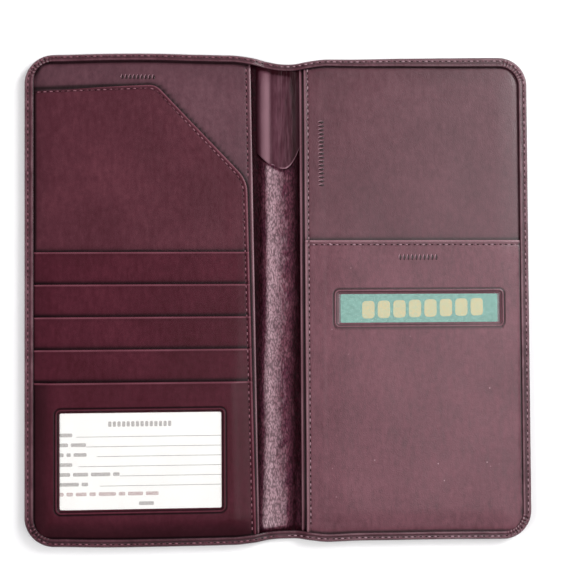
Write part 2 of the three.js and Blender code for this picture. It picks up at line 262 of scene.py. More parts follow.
def rounded_loop(corners, radii, arc_steps, side_steps):
    """Closed outline through corners given counter-clockwise: an arc of arc_steps points about
    each corner's own radius, then side_steps points along the side that follows it. Two loops
    with the same steps join point to point."""
    corners = np.asarray(corners, float)
    to_last = np.roll(corners, 1, axis=0) - corners
    to_next = np.roll(corners, -1, axis=0) - corners
    to_last /= np.linalg.norm(to_last, axis=1)[:, None]
    to_next /= np.linalg.norm(to_next, axis=1)[:, None]
    half = np.arccos(np.clip((to_last * to_next).sum(1), -1, 1)) / 2
    radii = np.broadcast_to(np.asarray(radii, float), len(corners))
    between = to_last + to_next
    between /= np.linalg.norm(between, axis=1)[:, None]
    centres = corners + between * (radii / np.sin(half))[:, None]
    starts = corners + to_last * (radii / np.tan(half))[:, None]
    ends = corners + to_next * (radii / np.tan(half))[:, None]
    first = np.arctan2(*(starts - centres).T[::-1])
    last = np.arctan2(*(ends - centres).T[::-1])
    sweep = (last - first + math.pi) % (2 * math.pi) - math.pi
    pieces = []
    for k in range(len(corners)):
        angle = first[k] + sweep[k] * np.linspace(0, 1, arc_steps, endpoint=False)
        pieces.append(centres[k] + radii[k] * np.stack([np.cos(angle), np.sin(angle)], 1))
        share = np.linspace(0, 1, side_steps[k % len(side_steps)], endpoint=False)[:, None]
        pieces.append(ends[k] + (starts[(k + 1) % len(corners)] - ends[k]) * share)
    return np.concatenate(pieces)


def beyond(x, y, centre, size, radius):
    """Signed distance from a rounded rectangle, positive outside it."""
    across = np.abs(x - centre[0]) - size[0] / 2 + radius
    along = np.abs(y - centre[1]) - size[1] / 2 + radius
    outside = np.hypot(np.maximum(across, 0), np.maximum(along, 0))
    return outside + np.minimum(np.maximum(across, along), 0) - radius


# ---- meshes -------------------------------------------------------------------------------

def make(name, points, faces, material, wear_and_painted_light=None):
    """A mesh object from points in millimetres; its open edges are marked sharp, so that a skin's
    outer face keeps its own shading right up to the edge. The last argument gives one value a point
    that shifts the colour: above 0 pale, for rubbing and painted highlights, and below 0 dark, for
    painted shade and painted shadows."""
    mesh = bpy.data.meshes.new(name)
    mesh.from_pydata(np.asarray(points, float).reshape(-1, 3) * MM, [], faces)
    mesh.polygons.foreach_set("use_smooth", np.ones(len(mesh.polygons), bool))
    mesh.materials.append(material)
    edge_of = np.empty(len(mesh.loops), np.int32)
    mesh.loops.foreach_get("edge_index", edge_of)
    open_edge = np.bincount(edge_of, minlength=len(mesh.edges)) == 1
    if open_edge.any():
        sharp = mesh.attributes.new("sharp_edge", "BOOLEAN", "EDGE")
        sharp.data.foreach_set("value", open_edge)
    # the per-point value paints highlights, shade and shadows into the colour, as well as rubbing
    if wear_and_painted_light is not None:
        layer = mesh.attributes.new("wear_and_painted_light", "FLOAT", "POINT")
        layer.data.foreach_set("value", np.asarray(wear_and_painted_light, np.float32).ravel())
    obj = bpy.data.objects.new(name, mesh)
    bpy.context.scene.collection.objects.link(obj)
    return obj


def grid_faces(rows, columns, wrap=False):
    """Quads of a grid numbered row by row; wrap joins the last row to the first."""
    i = np.arange(rows if wrap else rows - 1)[:, None]
    j = np.arange(columns - 1)[None, :]
    k = (i + 1) % rows
    quads = [i * columns + j, i * columns + j + 1, k * columns + j + 1, k * columns + j]
    return np.stack(quads, -1).reshape(-1, 4)


def sheet_of(name, x, y, z, thickness, material, wear_and_painted_light=None, wrap=False, outside=1):
    """A skin whose outer face is the grid x, y, z; outside is 1 where that face looks up and
    -1 where it looks down. Solidify gives the thickness on the other side."""
    rows, columns = x.shape
    points = np.stack([x, y, z], -1).reshape(-1, 3)
    faces = grid_faces(rows, columns, wrap)
    a, b, c = (points[faces[:, k]] for k in (0, 1, 2))
    if np.cross(b - a, c - a)[:, 2].sum() * outside < 0:
        faces = faces[:, ::-1]
    obj = make(name, points, faces.tolist(), material, wear_and_painted_light)
    solid = obj.modifiers.new("skin", "SOLIDIFY")
    solid.thickness = thickness * MM
    solid.offset = -1
    return obj


def tube_faces(rings, around):
    """Faces of a closed tube of rings, with a cap at each end, facing outwards where each ring
    runs counter-clockwise about the direction of travel."""
    i = np.arange(rings - 1)[:, None]
    j = np.arange(around)[None, :]
    k = (j + 1) % around
    quads = [i * around + j, i * around + k, (i + 1) * around + k, (i + 1) * around + j]
    caps = [list(range(around))[::-1], [(rings - 1) * around + n for n in range(around)]]
    return np.stack(quads, -1).reshape(-1, 4).tolist() + caps


def copies(name, template, places, directions, heights, material):
    """The tube template (rings, around, 3), in millimetres along, across and up, set down at
    each place with its length turned along that place's direction."""
    rings, around = template.shape[:2]
    flat = template.reshape(-1, 3)
    side = np.stack([-directions[:, 1], directions[:, 0]], 1)
    along, across = flat[None, :, :1], flat[None, :, 1:2]
    xy = places[:, None] + along * directions[:, None] + across * side[:, None]
    z = heights[:, None] + flat[None, :, 2]
    points = np.concatenate([xy, z[..., None]], -1)
    one = tube_faces(rings, around)
    faces = [[v + n * rings * around for v in face] for n in range(len(places)) for face in one]
    return make(name, points, faces, material)


def across_fold(obj, nodes=None):
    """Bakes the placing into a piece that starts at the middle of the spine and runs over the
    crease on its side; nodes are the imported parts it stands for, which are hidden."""
    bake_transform(obj)
    if nodes is not None:
        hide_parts(*nodes)


def place_in(obj, body, node=None):
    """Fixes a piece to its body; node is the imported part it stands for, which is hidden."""
    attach(obj, body)
    if node:
        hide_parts(node)


# ---- materials ----------------------------------------------------------------------------

def linear(code):
    """sRGB hex to a linear colour with alpha 1."""
    parts = [int(code[i:i + 2], 16) / 255 for i in (1, 3, 5)]
    return [c / 12.92 if c <= 0.04045 else ((c + 0.055) / 1.055) ** 2.4 for c in parts] + [1.0]


def per_mm(size):
    """Texture scale for a feature of this size in millimetres."""
    return 1 / (size * MM)


class Shader:
    """A material's node tree. Each texture reads the piece's own coordinates, place."""

    def __init__(self, name):
        self.material = bpy.data.materials.new(name)
        self.material.use_nodes = True
        self.tree = self.material.node_tree
        self.surface = self.tree.nodes["Principled BSDF"]
        self.place = self.add("TexCoord", "Object")

    def add(self, kind, give, settings=None, stops=(), **inputs):
        """Adds one node and returns its output give. settings are its properties, stops the
        (place, hex or grey level) marks of a ramp, and inputs its sockets, by name or, as n0,
        n1 and so on, by number. A texture reads place unless it is given another Vector."""
        if kind in ("TexNoise", "TexVoronoi", "TexWave"):
            inputs.setdefault("Vector", self.place)
        node = self.tree.nodes.new("ShaderNode" + kind)
        for key, value in (settings or {}).items():
            setattr(node, key, value)
        for k, (place, colour) in enumerate(stops):
            elements = node.color_ramp.elements
            element = elements[k] if k < len(elements) else elements.new(place)
            element.position = place
            element.color = linear(colour) if isinstance(colour, str) else (colour,) * 3 + (1,)
        self.put(node, inputs)
        return node.outputs[give]

    def put(self, node, inputs):
        """Sets or links a node's inputs, given by socket name or number."""
        for key, value in inputs.items():
            numbered = key[0] == "n" and key[1:].isdigit()
            socket = node.inputs[int(key[1:]) if numbered else key.replace("_", " ")]
            if isinstance(value, bpy.types.NodeSocket):
                self.tree.links.new(value, socket)
            else:
                socket.default_value = value

    def finish(self, **inputs):
        """The material, with its surface's own sockets set."""
        self.put(self.surface, inputs)
        return self.material


COLOURS = {"data_type": "RGBA"}
NUMBERS = {"data_type": "FLOAT"}


def painted_light_and_rubbing(s, dye, crease, rubbed_and_highlight):
    """The dye, darkened towards the dark colour where the piece's per-point value is below 0, which
    paints shade and shadows, and paled towards the pale colour where it is above 0, which paints
    highlights and shows rubbing."""
    wear_and_painted_light = s.add("Attribute", "Fac", {"attribute_name": "wear_and_painted_light"})
    for sign, colour in ((-1.0, crease), (1.0, rubbed_and_highlight)):
        share = s.add("Math", 0, {"operation": "MULTIPLY", "use_clamp": True}, n0=wear_and_painted_light, n1=sign)
        dye = s.add("Mix", 2, COLOURS, n0=share, n6=dye, n7=linear(colour))
    return dye


def specked(s, tone, rubbed_and_highlight):
    """Small pale specks of rubbing, some 8 mm apart and under half a millimetre across."""
    dots = s.add("TexVoronoi", "Distance", Scale=per_mm(8), Randomness=1.0)
    share = s.add("ValToRGB", "Color", stops=[(0.03, 0.8), (0.06, 0.0)], Fac=dots)
    return s.add("Mix", 2, COLOURS, n0=share, n6=tone, n7=linear(rubbed_and_highlight))


def calf_leather(
    name, dyes, crease, rubbed_and_highlight, grain=0.55, relief=0.05, roughness=0.38, fibre=1.0, gloss=0.5,
    specks=False, scuff=0.3,
):
    """Aniline-dyed calf, rolled smooth: a fine pebble of pores a half millimetre apart, dye that
    pools in soft clouds a few centimetres wide, faint scuffs drawn out on a slant, and a waxy
    surface with a broad sheen. fibre stretches the grain along the spine, as where the leather
    has been bent for years."""
    s = Shader(name)
    stretched = s.add("Mapping", "Vector", Vector=s.place, Scale=(1, 1 / fibre, 1))
    slant = s.add("Mapping", "Vector", Vector=s.place, Rotation=(0, 0, 0.5), Scale=(1, 0.3, 1))
    clouds = s.add("TexNoise", "Fac", Scale=per_mm(34), Detail=3.0)
    patches = s.add(
        "TexNoise", "Fac", Vector=stretched, Scale=per_mm(2.6), Detail=5.0, Roughness=0.6
    )
    scuffs = s.add("TexNoise", "Fac", Vector=slant, Scale=per_mm(2.2), Detail=4.0, Roughness=0.65)
    pores = s.add("TexVoronoi", "Distance", Vector=stretched, Scale=per_mm(grain))
    mixed = s.add("Mix", 0, NUMBERS, n0=0.45, n2=clouds, n3=patches)
    scuffed = s.add("Mix", 0, NUMBERS, n0=scuff, n2=mixed, n3=scuffs)
    dye = s.add("ValToRGB", "Color", stops=zip((0.34, 0.5, 0.66), dyes), Fac=scuffed)
    matt = [(0.3, roughness - 0.06), (0.7, roughness + 0.08)]
    wax = s.add("ValToRGB", "Color", stops=matt, Fac=scuffs)
    heights = s.add("Math", 0, {"operation": "MULTIPLY_ADD"}, n0=patches, n1=0.8, n2=pores)
    bump = s.add("Bump", "Normal", Height=heights, Strength=0.7, Distance=relief * MM)
    tone = painted_light_and_rubbing(s, dye, crease, rubbed_and_highlight)
    if specks:
        tone = specked(s, tone, rubbed_and_highlight)
    return s.finish(Base_Color=tone, Roughness=wax, Normal=bump, IOR=1.5, Specular_IOR_Level=gloss)


def pebbled_leather(name, dyes, crease, rubbed_and_highlight):
    """Soft milled leather: long pebbles about 0.6 by 1.5 mm that run along the spine, darker in
    the creases between them, and small pores over all."""
    s = Shader(name)
    long_way = s.add("Mapping", "Vector", Vector=s.place, Scale=(1, 0.42, 1))
    warp = s.add("TexNoise", "Color", Vector=long_way, Scale=per_mm(2.4), Detail=2.0)
    shift = (1.4 * MM, 1.4 * MM, 1.4 * MM)
    bent = s.add("VectorMath", 0, {"operation": "MULTIPLY_ADD"}, n0=warp, n1=shift, n2=long_way)
    cells = s.add("TexVoronoi", "Distance", Vector=bent, Scale=per_mm(0.64))
    fine = s.add("TexVoronoi", "Distance", Vector=bent, Scale=per_mm(0.35))
    clouds = s.add("TexNoise", "Fac", Scale=per_mm(7), Detail=4.0)
    dye = s.add("ValToRGB", "Color", stops=zip((0.35, 0.5, 0.65), dyes), Fac=clouds)
    heights = s.add("Math", 0, {"operation": "MULTIPLY_ADD"}, n0=fine, n1=0.4, n2=cells)
    bump = s.add(
        "Bump", "Normal", {"invert": True}, Height=heights, Strength=0.8, Distance=0.3 * MM
    )
    depths = [(0.2, 1.0), (0.42, 0.86), (0.66, 0.42)]
    between = s.add("ValToRGB", "Color", stops=depths, Fac=cells)
    dye = painted_light_and_rubbing(s, dye, crease, rubbed_and_highlight)
    tone = s.add("Mix", 2, COLOURS | {"blend_type": "MULTIPLY"}, n0=1.0, n6=dye, n7=between)
    return s.finish(Base_Color=tone, Roughness=0.6, Normal=bump, Specular_IOR_Level=0.06)


def waxed_thread(name, shade, light):
    """Bonded polyester thread, two plies twisted 1 mm to the turn, with a slight wax shine."""
    s = Shader(name)
    diagonal = {"bands_direction": "DIAGONAL"}
    twist = s.add("TexWave", "Fac", diagonal, Scale=per_mm(1.0) / 6)
    tone = s.add("ValToRGB", "Color", stops=[(0.2, shade), (0.8, light)], Fac=twist)
    bump = s.add("Bump", "Normal", Height=twist, Strength=0.5, Distance=0.06 * MM)
    return s.finish(Base_Color=tone, Roughness=0.6, Normal=bump, Specular_IOR_Level=0.2)


def card_stock(name, light, shade, fleck=9):
    """Uncoated card: paper fibres a third of a millimetre long, and a tint uneven over fleck
    millimetres, fine where the card is printed with a security ground."""
    s = Shader(name)
    fibres = s.add("TexNoise", "Fac", Scale=per_mm(0.35), Detail=3.0)
    broad = s.add("TexNoise", "Fac", Scale=per_mm(fleck), Detail=2.0)
    blend = s.add("Mix", 0, NUMBERS, n0=0.5, n2=fibres, n3=broad)
    tone = s.add("ValToRGB", "Color", stops=[(0.3, shade), (0.7, light)], Fac=blend)
    bump = s.add("Bump", "Normal", Height=fibres, Strength=0.3, Distance=0.02 * MM)
    return s.finish(Base_Color=tone, Roughness=0.7, Normal=bump)


def printing_ink(name, colour, pale):
    """Offset ink on card, uneven where the card's fibres show through."""
    s = Shader(name)
    gaps = s.add("TexNoise", "Fac", Scale=per_mm(0.8), Detail=3.0)
    tone = s.add("ValToRGB", "Color", stops=[(0.35, colour), (0.75, pale)], Fac=gaps)
    return s.finish(Base_Color=tone, Roughness=0.6)


def clear_vinyl(name):
    """Plasticised PVC sheet: clear, glossy and faintly hazy, with a ripple a few cm long."""
    s = Shader(name)
    ripple = s.add("TexNoise", "Fac", Scale=per_mm(22), Detail=1.0)
    haze = s.add("ValToRGB", "Color", stops=[(0.3, 0.06), (0.7, 0.14)], Fac=ripple)
    bump = s.add("Bump", "Normal", Height=ripple, Strength=0.3, Distance=0.4 * MM)
    s.material.surface_render_method = "BLENDED"
    s.put(s.surface, {"Base_Color": linear("#e6e9ea"), "Roughness": haze, "Normal": bump})
    return s.finish(Alpha=0.09, IOR=1.53, Specular_IOR_Level=0.3)


def woven_lining(name):
    """Plain-woven viscose lining: threads 0.3 mm apart both ways, with a dull sheen."""
    s = Shader(name)
    warp, weft = (
        s.add("TexWave", "Fac", {"bands_direction": way}, Scale=per_mm(0.3) / 6.28)
        for way in "XY"
    )
    cross = s.add("Math", 0, {"operation": "MULTIPLY"}, n0=warp, n1=weft)
    tone = s.add("ValToRGB", "Color", stops=[(0.0, "#24131a"), (1.0, "#4a2a34")], Fac=cross)
    bump = s.add("Bump", "Normal", Height=cross, Strength=0.4, Distance=0.08 * MM)
    return s.finish(Base_Color=tone, Roughness=0.8, Normal=bump)


def fibre_board(name):
    """Pressed leather-fibre board: grey-brown, with flecks of a millimetre or so."""
    s = Shader(name)
    flecks = s.add("TexNoise", "Fac", Scale=per_mm(1.2), Detail=6.0)
    tone = s.add("ValToRGB", "Color", stops=[(0.35, "#7d6c58"), (0.65, "#a5937a")], Fac=flecks)
    bump = s.add("Bump", "Normal", Height=flecks, Strength=0.4, Distance=0.05 * MM)
    return s.finish(Base_Color=tone, Roughness=0.9, Normal=bump)


def table_top(name):
    """Matt white laminate with a faint cloudiness."""
    s = Shader(name)
    clouds = s.add("TexNoise", "Fac", Scale=per_mm(300), Detail=2.0)
    tone = s.add("ValToRGB", "Color", stops=[(0.3, "#f6f5f7"), (0.7, "#fbfafb")], Fac=clouds)
    return s.finish(Base_Color=tone, Roughness=0.6)


# the leathers, each with its dye in three strengths, its dark colour for painted shade and shadows
# in creases and hollows, and its pale colour for rubbing and painted highlights
UPPER = calf_leather(
    "smooth_calf_panel", ("#49262f", "#562f39", "#633a44"), "#1a060b", "#a07a83"
)
FRONT = calf_leather(
    "smooth_calf_pocket_front", ("#4f2832", "#623742", "#72444f"), "#1c070c", "#a8838b",
    relief=0.07, specks=True, scuff=0.4,
)
POCKET = calf_leather(
    "smooth_calf_left_pockets", ("#3b121b", "#451824", "#511f2c"), "#120206", "#84505c",
    relief=0.04, gloss=0.2,
)
COVER = calf_leather(
    "grained_calf_cover", ("#3f1d26", "#4a242e", "#552d38"), "#1c080d", "#855b66",
    relief=0.06, gloss=0.35,
)
TAPE = calf_leather(
    "skived_calf_tape", ("#3f1d26", "#4f2a34", "#623b46"), "#16050a", "#a9858d", relief=0.1
)
SPINE = pebbled_leather(
    "milled_calf_spine", ("#53293a", "#5e3241", "#6a3e4b"), "#22030c", "#d0adb7"
)
SLEEVE = calf_leather(
    "thin_calf_sleeve", ("#472630", "#573540", "#67444f"), "#22070e", "#9c7882",
    relief=0.07, fibre=3.5, gloss=0.05,
)
TICKET = calf_leather(
    "smooth_calf_ticket_pocket", ("#421923", "#4d222d", "#5a2b36"), "#120206", "#84505c",
    relief=0.04, gloss=0.3,
)
BACK = calf_leather(
    "smooth_calf_ticket_back", ("#492b34", "#57343e", "#643e48"), "#1a060b", "#a07a83"
)
REAR = calf_leather(
    "smooth_calf_rear_layer", ("#48242d", "#542c37", "#603541"), "#17040a", "#a07a83", gloss=0.18
)
STAMP = calf_leather(
    "blind_stamped_calf", ("#1d070c", "#260b12", "#301219"), "#0c0205", "#3a1a22"
)
# painted highlight: the paler copies set beside each stamped mark
STAMP_PAINTED_HIGHLIGHT = calf_leather(
    "stamped_calf_painted_highlight", ("#8f6b75", "#9a7680", "#a5828b"), "#4d2831", "#b3929a"
)
THREAD = waxed_thread("waxed_polyester_thread", "#5c303b", "#865964")
# the same thread painted lighter, for the rows on the right half, where more light falls
THREAD_PAINTED_LIT = waxed_thread("polyester_thread_painted_lit", "#6f4a54", "#9d7e87")
# painted shade in the pricked holes: dark dimples between the stitches, given the thread's shader
STITCH_HOLE_SHADE = waxed_thread("painted_shade_in_pricked_hole", "#1d070c", "#2a0c13")
CARD = card_stock("white_card", "#fbf8f5", "#f4f0ed")
GREEN_CARD = card_stock("green_printed_card", "#6cab9c", "#37796c", fleck=1.3)
GREY_INK = printing_ink("grey_form_ink", "#a09a97", "#c4beba")
RED_INK = printing_ink("rose_form_ink", "#b39a98", "#d6c8c4")
RULE_INK = printing_ink("rule_ink", "#7a7371", "#9f9996")
GOLD_INK = printing_ink("pale_gold_ink", "#c6b27b", "#9fb590")
VINYL = clear_vinyl("clear_pvc")
LINING = woven_lining("viscose_lining")
BOARD = fibre_board("leather_fibre_board")


# ---- stitches -----------------------------------------------------------------------------

def pod(length, width, rise, power, rings=7, around=6, sink=0.0):
    """A closed seed shape: along t from -1 to 1 its half width and height follow
    sqrt(1 - |t|^power), and its ends dive by sink."""
    t = np.linspace(-1, 1, rings)[:, None]
    swell = np.sqrt(np.maximum(1 - np.abs(t) ** power, 0.03))
    angle = np.linspace(0, 2 * math.pi, around, endpoint=False)[None, :]
    across = swell * np.cos(angle) * width / 2
    up = swell * np.sin(angle) * rise - sink * (1 - swell)
    return np.stack([t * length / 2 + 0 * angle, across, up], -1)


STITCH = pod(1.75, 0.62, 0.28, 3, sink=0.22)
HOLE_DIMPLE = pod(1.1, 0.62, 0.06, 2, rings=5)
STITCH_LIFT, HOLE_LIFT = 0.04, 0.02


def stitch_row(
    name, line, height_at, body, start=1.0, stop=1.0, flip=1, across=0, thread=THREAD
):
    """A row of stitches along a line, with a dark dimple between each two that paints the shade in
    a pricked hole, laid on the surface height_at; flip is -1 on an outside face that looks down,
    and across is the side of a row that runs over the crease."""
    places, directions = walk(line, STITCH_PITCH, start, stop)
    between = places[:-1] + np.diff(places, axis=0) / 2
    rows = [
        (name, STITCH, places, directions, STITCH_LIFT, thread),
        (name + "_holes", HOLE_DIMPLE, between, directions[:-1], HOLE_LIFT, STITCH_HOLE_SHADE),
    ]
    for label, shape, at, way, lift, material in rows:
        shape = shape * [1, flip, flip]
        piece = copies(label, shape, at, way, height_at(*at.T) + lift * flip, material)
        if across:
            across_fold(piece)
        else:
            place_in(piece, body)


# ---- shape of the leather panels ----------------------------------------------------------

# thickness of each skin in the finished wallet
COVER_THICK = 0.6
REAR_THICK = 0.7
PANEL_THICK = 0.65
POCKET_THICK = 0.5
SLOT_THICK = 0.36
ROLL_THICK = 0.5
SLEEVE_THICK = 0.35
TAPE_THICK = 0.4
LIP_THICK = 0.12
CLOTH_THICK = 0.12
PANE_THICK = 0.08

# distance of each free edge from the middle, at the tail and at the head of the wallet
RIGHT_REAR_EDGE = (9.5, 9.5)
RIGHT_UPPER_EDGE = (11.8, 11.6)
LEFT_REAR_EDGE = (10.8, 14.0)
LEFT_UPPER_EDGE = (12.2, 17.0)
REACH = HALF_HEIGHT - UNDER_TAPE


def edge_at(edge, y):
    """Distance of a free gutter edge from the middle at height y: a straight taper."""
    return edge[0] + (edge[1] - edge[0]) * (np.asarray(y, float) / (2 * HALF_HEIGHT) + 0.5)


def gutter_line(side, edge, inset=0.0, low=-HALF_HEIGHT, high=HALF_HEIGHT):
    """The straight free edge beside the spine, or a line inset from it, from low to high."""
    y = np.array([low, high])
    return np.stack([side * (edge_at(edge, y) + inset), y], 1)


class Panel:
    """Upper face of one leather panel of a half, as a height over x and y.

    It lies level at top, sinks to rim where the tape holds it and to seam where the gutter
    stitching holds it, and follows the slow unevenness of the whole half. Free edges roll
    over, and a fold line shows a little way in from them; stitched rows are grooves; a window
    has a rolled edge with a creased line round it."""

    def __init__(
        self, side, edge, top, rim, seam=None, fall=9.0, slope=11.0, free=(), sewn=(), over=(),
        window=None, margin_shade=0.15,
    ):
        """Heights and distances in millimetres. edge is the gutter edge's place; fall and slope are
        how far in the panel comes level from the gutter and from the tape; free holds (line, drop,
        fold line's distance), sewn the stitched rows, over the edges of leather that lies on top,
        beside which a painted shadow falls; the last argument is how strongly painted shade darkens
        the margin by the tape."""
        self.side, self.top, self.rim, self.edge = side, top, rim, edge
        self.seam = top if seam is None else seam
        self.fall, self.slope, self.margin_shade = fall, slope, margin_shade
        self.free, self.sewn, self.over, self.window = free, sewn, over, window

    def base(self, x, y):
        """The panel before its edges, rows and window are worked."""
        margin = rim_distance(x, y)
        inside = smooth(margin, TAPE_WIDTH - 0.4, TAPE_WIDTH + self.slope)
        held = 1 - smooth(np.abs(x) - edge_at(self.edge, y), 1.5, self.fall)
        level = self.rim + (self.top - self.rim) * inside - (self.top - self.seam) * held * inside
        uneven = noise(x, y, 41, 52, 5) + 0.5 * noise(x, y, 15, 22, 6)
        for line, _, _ in self.free[:1]:  # the first free edge lifts a little
            d, _ = distance_to(x, y, line)
            level = level + 0.16 * bell(d, 0, 2.2) * inside
        pressed = 0.32 * (1 - smooth(margin, TAPE_WIDTH + 0.2, TAPE_WIDTH + 1.8))
        return level + 0.17 * uneven * (0.2 + 0.8 * inside) - pressed

    def __call__(self, x, y):
        """Height of the finished upper face."""
        z = self.base(x, y)
        for line, drop, turned in self.free:
            d, _ = distance_to(x, y, line)
            z = z - rolled(d, drop) + 0.07 * (1 - smooth(d, turned, turned + 1.1))
        for line in self.sewn:
            d, along = distance_to(x, y, line)
            z = z - puckered(d, along)
        if self.window:
            d = beyond(x, y, *self.window)
            z = z - rolled(d, 0.35, 0.7) - 0.2 * bell(d, 1.5, 0.3) + 0.08 * bell(d, 0.8, 0.35)
        return z

    def wear_and_painted_light(self, x, y):
        """Colour shifts: free edges pale, partly from rubbing and partly as a painted highlight;
        painted shadow at the tape's inner edge and beside leather lying on top; painted shade over
        the margin by the tape, in the stitched grooves and in the creased line round a window,
        whose rolled edge gets a painted highlight.
        """
        margin = rim_distance(x, y)
        # painted shadow of the tape's inner edge on the panel
        tone = -1.2 * bell(margin, TAPE_WIDTH, 0.45)
        # painted shade darkening the margin towards the tape
        tone = tone - self.margin_shade * (1 - smooth(margin, TAPE_WIDTH, TAPE_WIDTH + 13))
        for line in self.over:
            d, _ = distance_to(x, y, line)
            # painted shadow cast by the edge of leather lying on top
            tone = tone - 1.3 * bell(d, 0, 0.8) - 0.32 * bell(d, 0, 2.2)
        for line, _, _ in self.free:
            d, along = distance_to(x, y, line)
            # pale band along each free edge: rubbing together with a painted highlight on the
            # rolled edge, lifted out of any painted shade, then a faint painted shade just inside
            # the roll
            rubbed_and_highlight = 0.75 + 0.25 * noise(along, d, 9, 5, 81)
            tone = tone * (1 - 0.8 * bell(d, 0.4, 0.7)) + 0.8 * rubbed_and_highlight * bell(d, 0.45, 0.42)
            tone = tone - 0.12 * bell(d, 1.5, 0.7)
        for line in self.sewn:
            d, _ = distance_to(x, y, line)
            # painted shade in the groove of each stitched row
            tone = tone - 0.35 * bell(d, 0, 0.42)
        if self.window:
            d = beyond(x, y, *self.window)
            # painted shade in the creased line round the window and at its edge, with a painted
            # highlight on the rolled edge between them
            tone = tone - 1.3 * bell(d, 1.5, 0.4) + 0.3 * bell(d, 0.7, 0.3) - 1.0 * bell(d, 0, 0.35)
        return np.clip(tone, -1, 1)


def rolled(d, drop, radius=0.7):
    """Fall of a turned edge: a quarter ellipse, drop deep at the edge itself."""
    t = np.clip(1 - d / radius, 0, 1)
    return drop * (1 - np.sqrt(np.maximum(1 - t * t, 0)))


def puckered(d, along, depth=0.16):
    """Depth of the groove under a stitched row, deepest at each pricked hole."""
    ripple = 0.6 + 0.4 * np.cos(2 * math.pi * along / STITCH_PITCH)
    return depth * bell(d, 0, 0.5) * ripple + 0.06 * bell(d, 0, 1.7)


def finish_panel(name, panel, x, y, thickness, material, node, wrap=False):
    """A panel's skin over the grid x, y, fixed to its half."""
    obj = sheet_of(name, x, y, panel(x, y), thickness, material, panel.wear_and_painted_light(x, y), wrap=wrap)
    place_in(obj, f"{WORD[panel.side]}_half", node)


def full_panel(name, panel, thickness, material, node, dense=()):
    """A panel as high as the wallet. u is the share of the way from the gutter edge to the
    side edge, close-set beside the gutter, and v the height; the rim lies under the tape."""
    width = HALF_WIDTH - UNDER_TAPE - panel.edge[0]
    u = graded(0, width, 2.2, (0, 0.5, 0.08), *dense) / width
    v = graded(-REACH, REACH, 0.7)
    v, u = np.meshgrid(v, u, indexing="ij")
    near = edge_at(panel.edge, v)
    x = panel.side * (near + (side_x(v, UNDER_TAPE) - near) * u)
    finish_panel(name, panel, x, drawn_in(x, v), thickness, material, node)


def window_panel(name, panel, mouth, thickness, material, node, steps, close_set):
    """A panel with a window. Rings go from the window's edge to the panel's outline, joined
    point to point by straight lines, and are denser at the shares of the way in close_set.
    The mouth is the upper free edge; the other edges are the gutter edge and two that lie
    under the tape."""
    centre, size, radius = panel.window
    near, far = edge_at(panel.edge, mouth), edge_at(panel.edge, -REACH)
    side, wide = panel.side, HALF_WIDTH - UNDER_TAPE
    corners = [[wide, mouth], [near, mouth], [far, -REACH], [wide, -REACH]]
    outer = rounded_loop(corners, [0.3, 0.9, 0.6, CORNER_RADIUS - UNDER_TAPE], 10, steps)
    inner = rounded_loop(SQUARE * size / 2 + centre * [side, 1], radius, 10, steps)
    share = graded(0, 1, 0.05, *close_set)[None, :, None]
    points = inner[:, None] * (1 - share) + outer[:, None] * share
    x = side * points[..., 0]
    y = drawn_in(x, points[..., 1])
    finish_panel(name, panel, x, y, thickness, material, node, wrap=True)


# ---- right half: rear layer, upper panel and passport pocket ------------------------------

PASSPORT_MOUTH = 27.7
ROW_INSET = 1.9  # from a free edge to its stitched row
ROW_END = 111.5  # head and tail ends of the gutter rows
PASSPORT_WINDOW = (np.array([66.9, -5.2]), np.array([80.2, 15.8]), 1.3)
passport_mouth = np.array([[RIGHT_UPPER_EDGE[0], PASSPORT_MOUTH], [HALF_WIDTH, PASSPORT_MOUTH]])
passport_row = np.array([[13.4, PASSPORT_MOUTH - 2.3], [116.6, PASSPORT_MOUTH - 2.3]])
right_row = gutter_line(1, RIGHT_UPPER_EDGE, ROW_INSET, -ROW_END, ROW_END)
right_edge = gutter_line(1, RIGHT_UPPER_EDGE)

rear_layer = Panel(
    1, RIGHT_REAR_EDGE, top=3.1, rim=2.6,
    free=[(gutter_line(1, RIGHT_REAR_EDGE), 0.8, 8)],
    over=[right_edge],
)
upper_layer = Panel(
    1, RIGHT_UPPER_EDGE, top=4.0, rim=3.7,
    free=[(right_edge, 0.8, 9)],
    sewn=[gutter_line(1, RIGHT_UPPER_EDGE, ROW_INSET, PASSPORT_MOUTH, ROW_END)],
    over=[passport_mouth],
)
passport_front = Panel(
    1, RIGHT_UPPER_EDGE, top=5.25, rim=4.6, seam=4.85, fall=20, margin_shade=0.0,
    free=[(right_edge, 0.75, 9), (passport_mouth, 0.8, 9)],
    sewn=[right_row, passport_row],
    window=PASSPORT_WINDOW,
)
full_panel("rear_layer_right", rear_layer, REAR_THICK, REAR, "gutter_pocket_panel")
full_panel(
    "upper_panel_right", upper_layer, PANEL_THICK, UPPER, "document_pocket_panel",
    dense=[(ROW_INSET, 0.8, 0.22)],
)
window_panel(
    "passport_pocket_right", passport_front, PASSPORT_MOUTH, POCKET_THICK, FRONT,
    "passport_pocket_front",
    steps=(120, 120, 120, 90),
    close_set=[(0, 0.01, 0.006), (0.11, 0.035, 0.016), (0.895, 0.05, 0.016), (1, 0.0, 0.004)],
)


def right_top(x, y):
    """Height of whichever leather lies uppermost on the right half."""
    return np.where(y < PASSPORT_MOUTH, passport_front(x, y), upper_layer(x, y))


# these rows use the thread painted lighter, for the brighter light on the right half
stitch_row(
    "gutter_stitches_right", right_row[::-1], right_top, "right_half", start=0.5, stop=0.5,
    thread=THREAD_PAINTED_LIT,
)
stitch_row("passport_mouth_stitches", passport_row, right_top, "right_half", thread=THREAD_PAINTED_LIT)


# ---- left half: ticket pocket, card slots and the window pocket ---------------------------

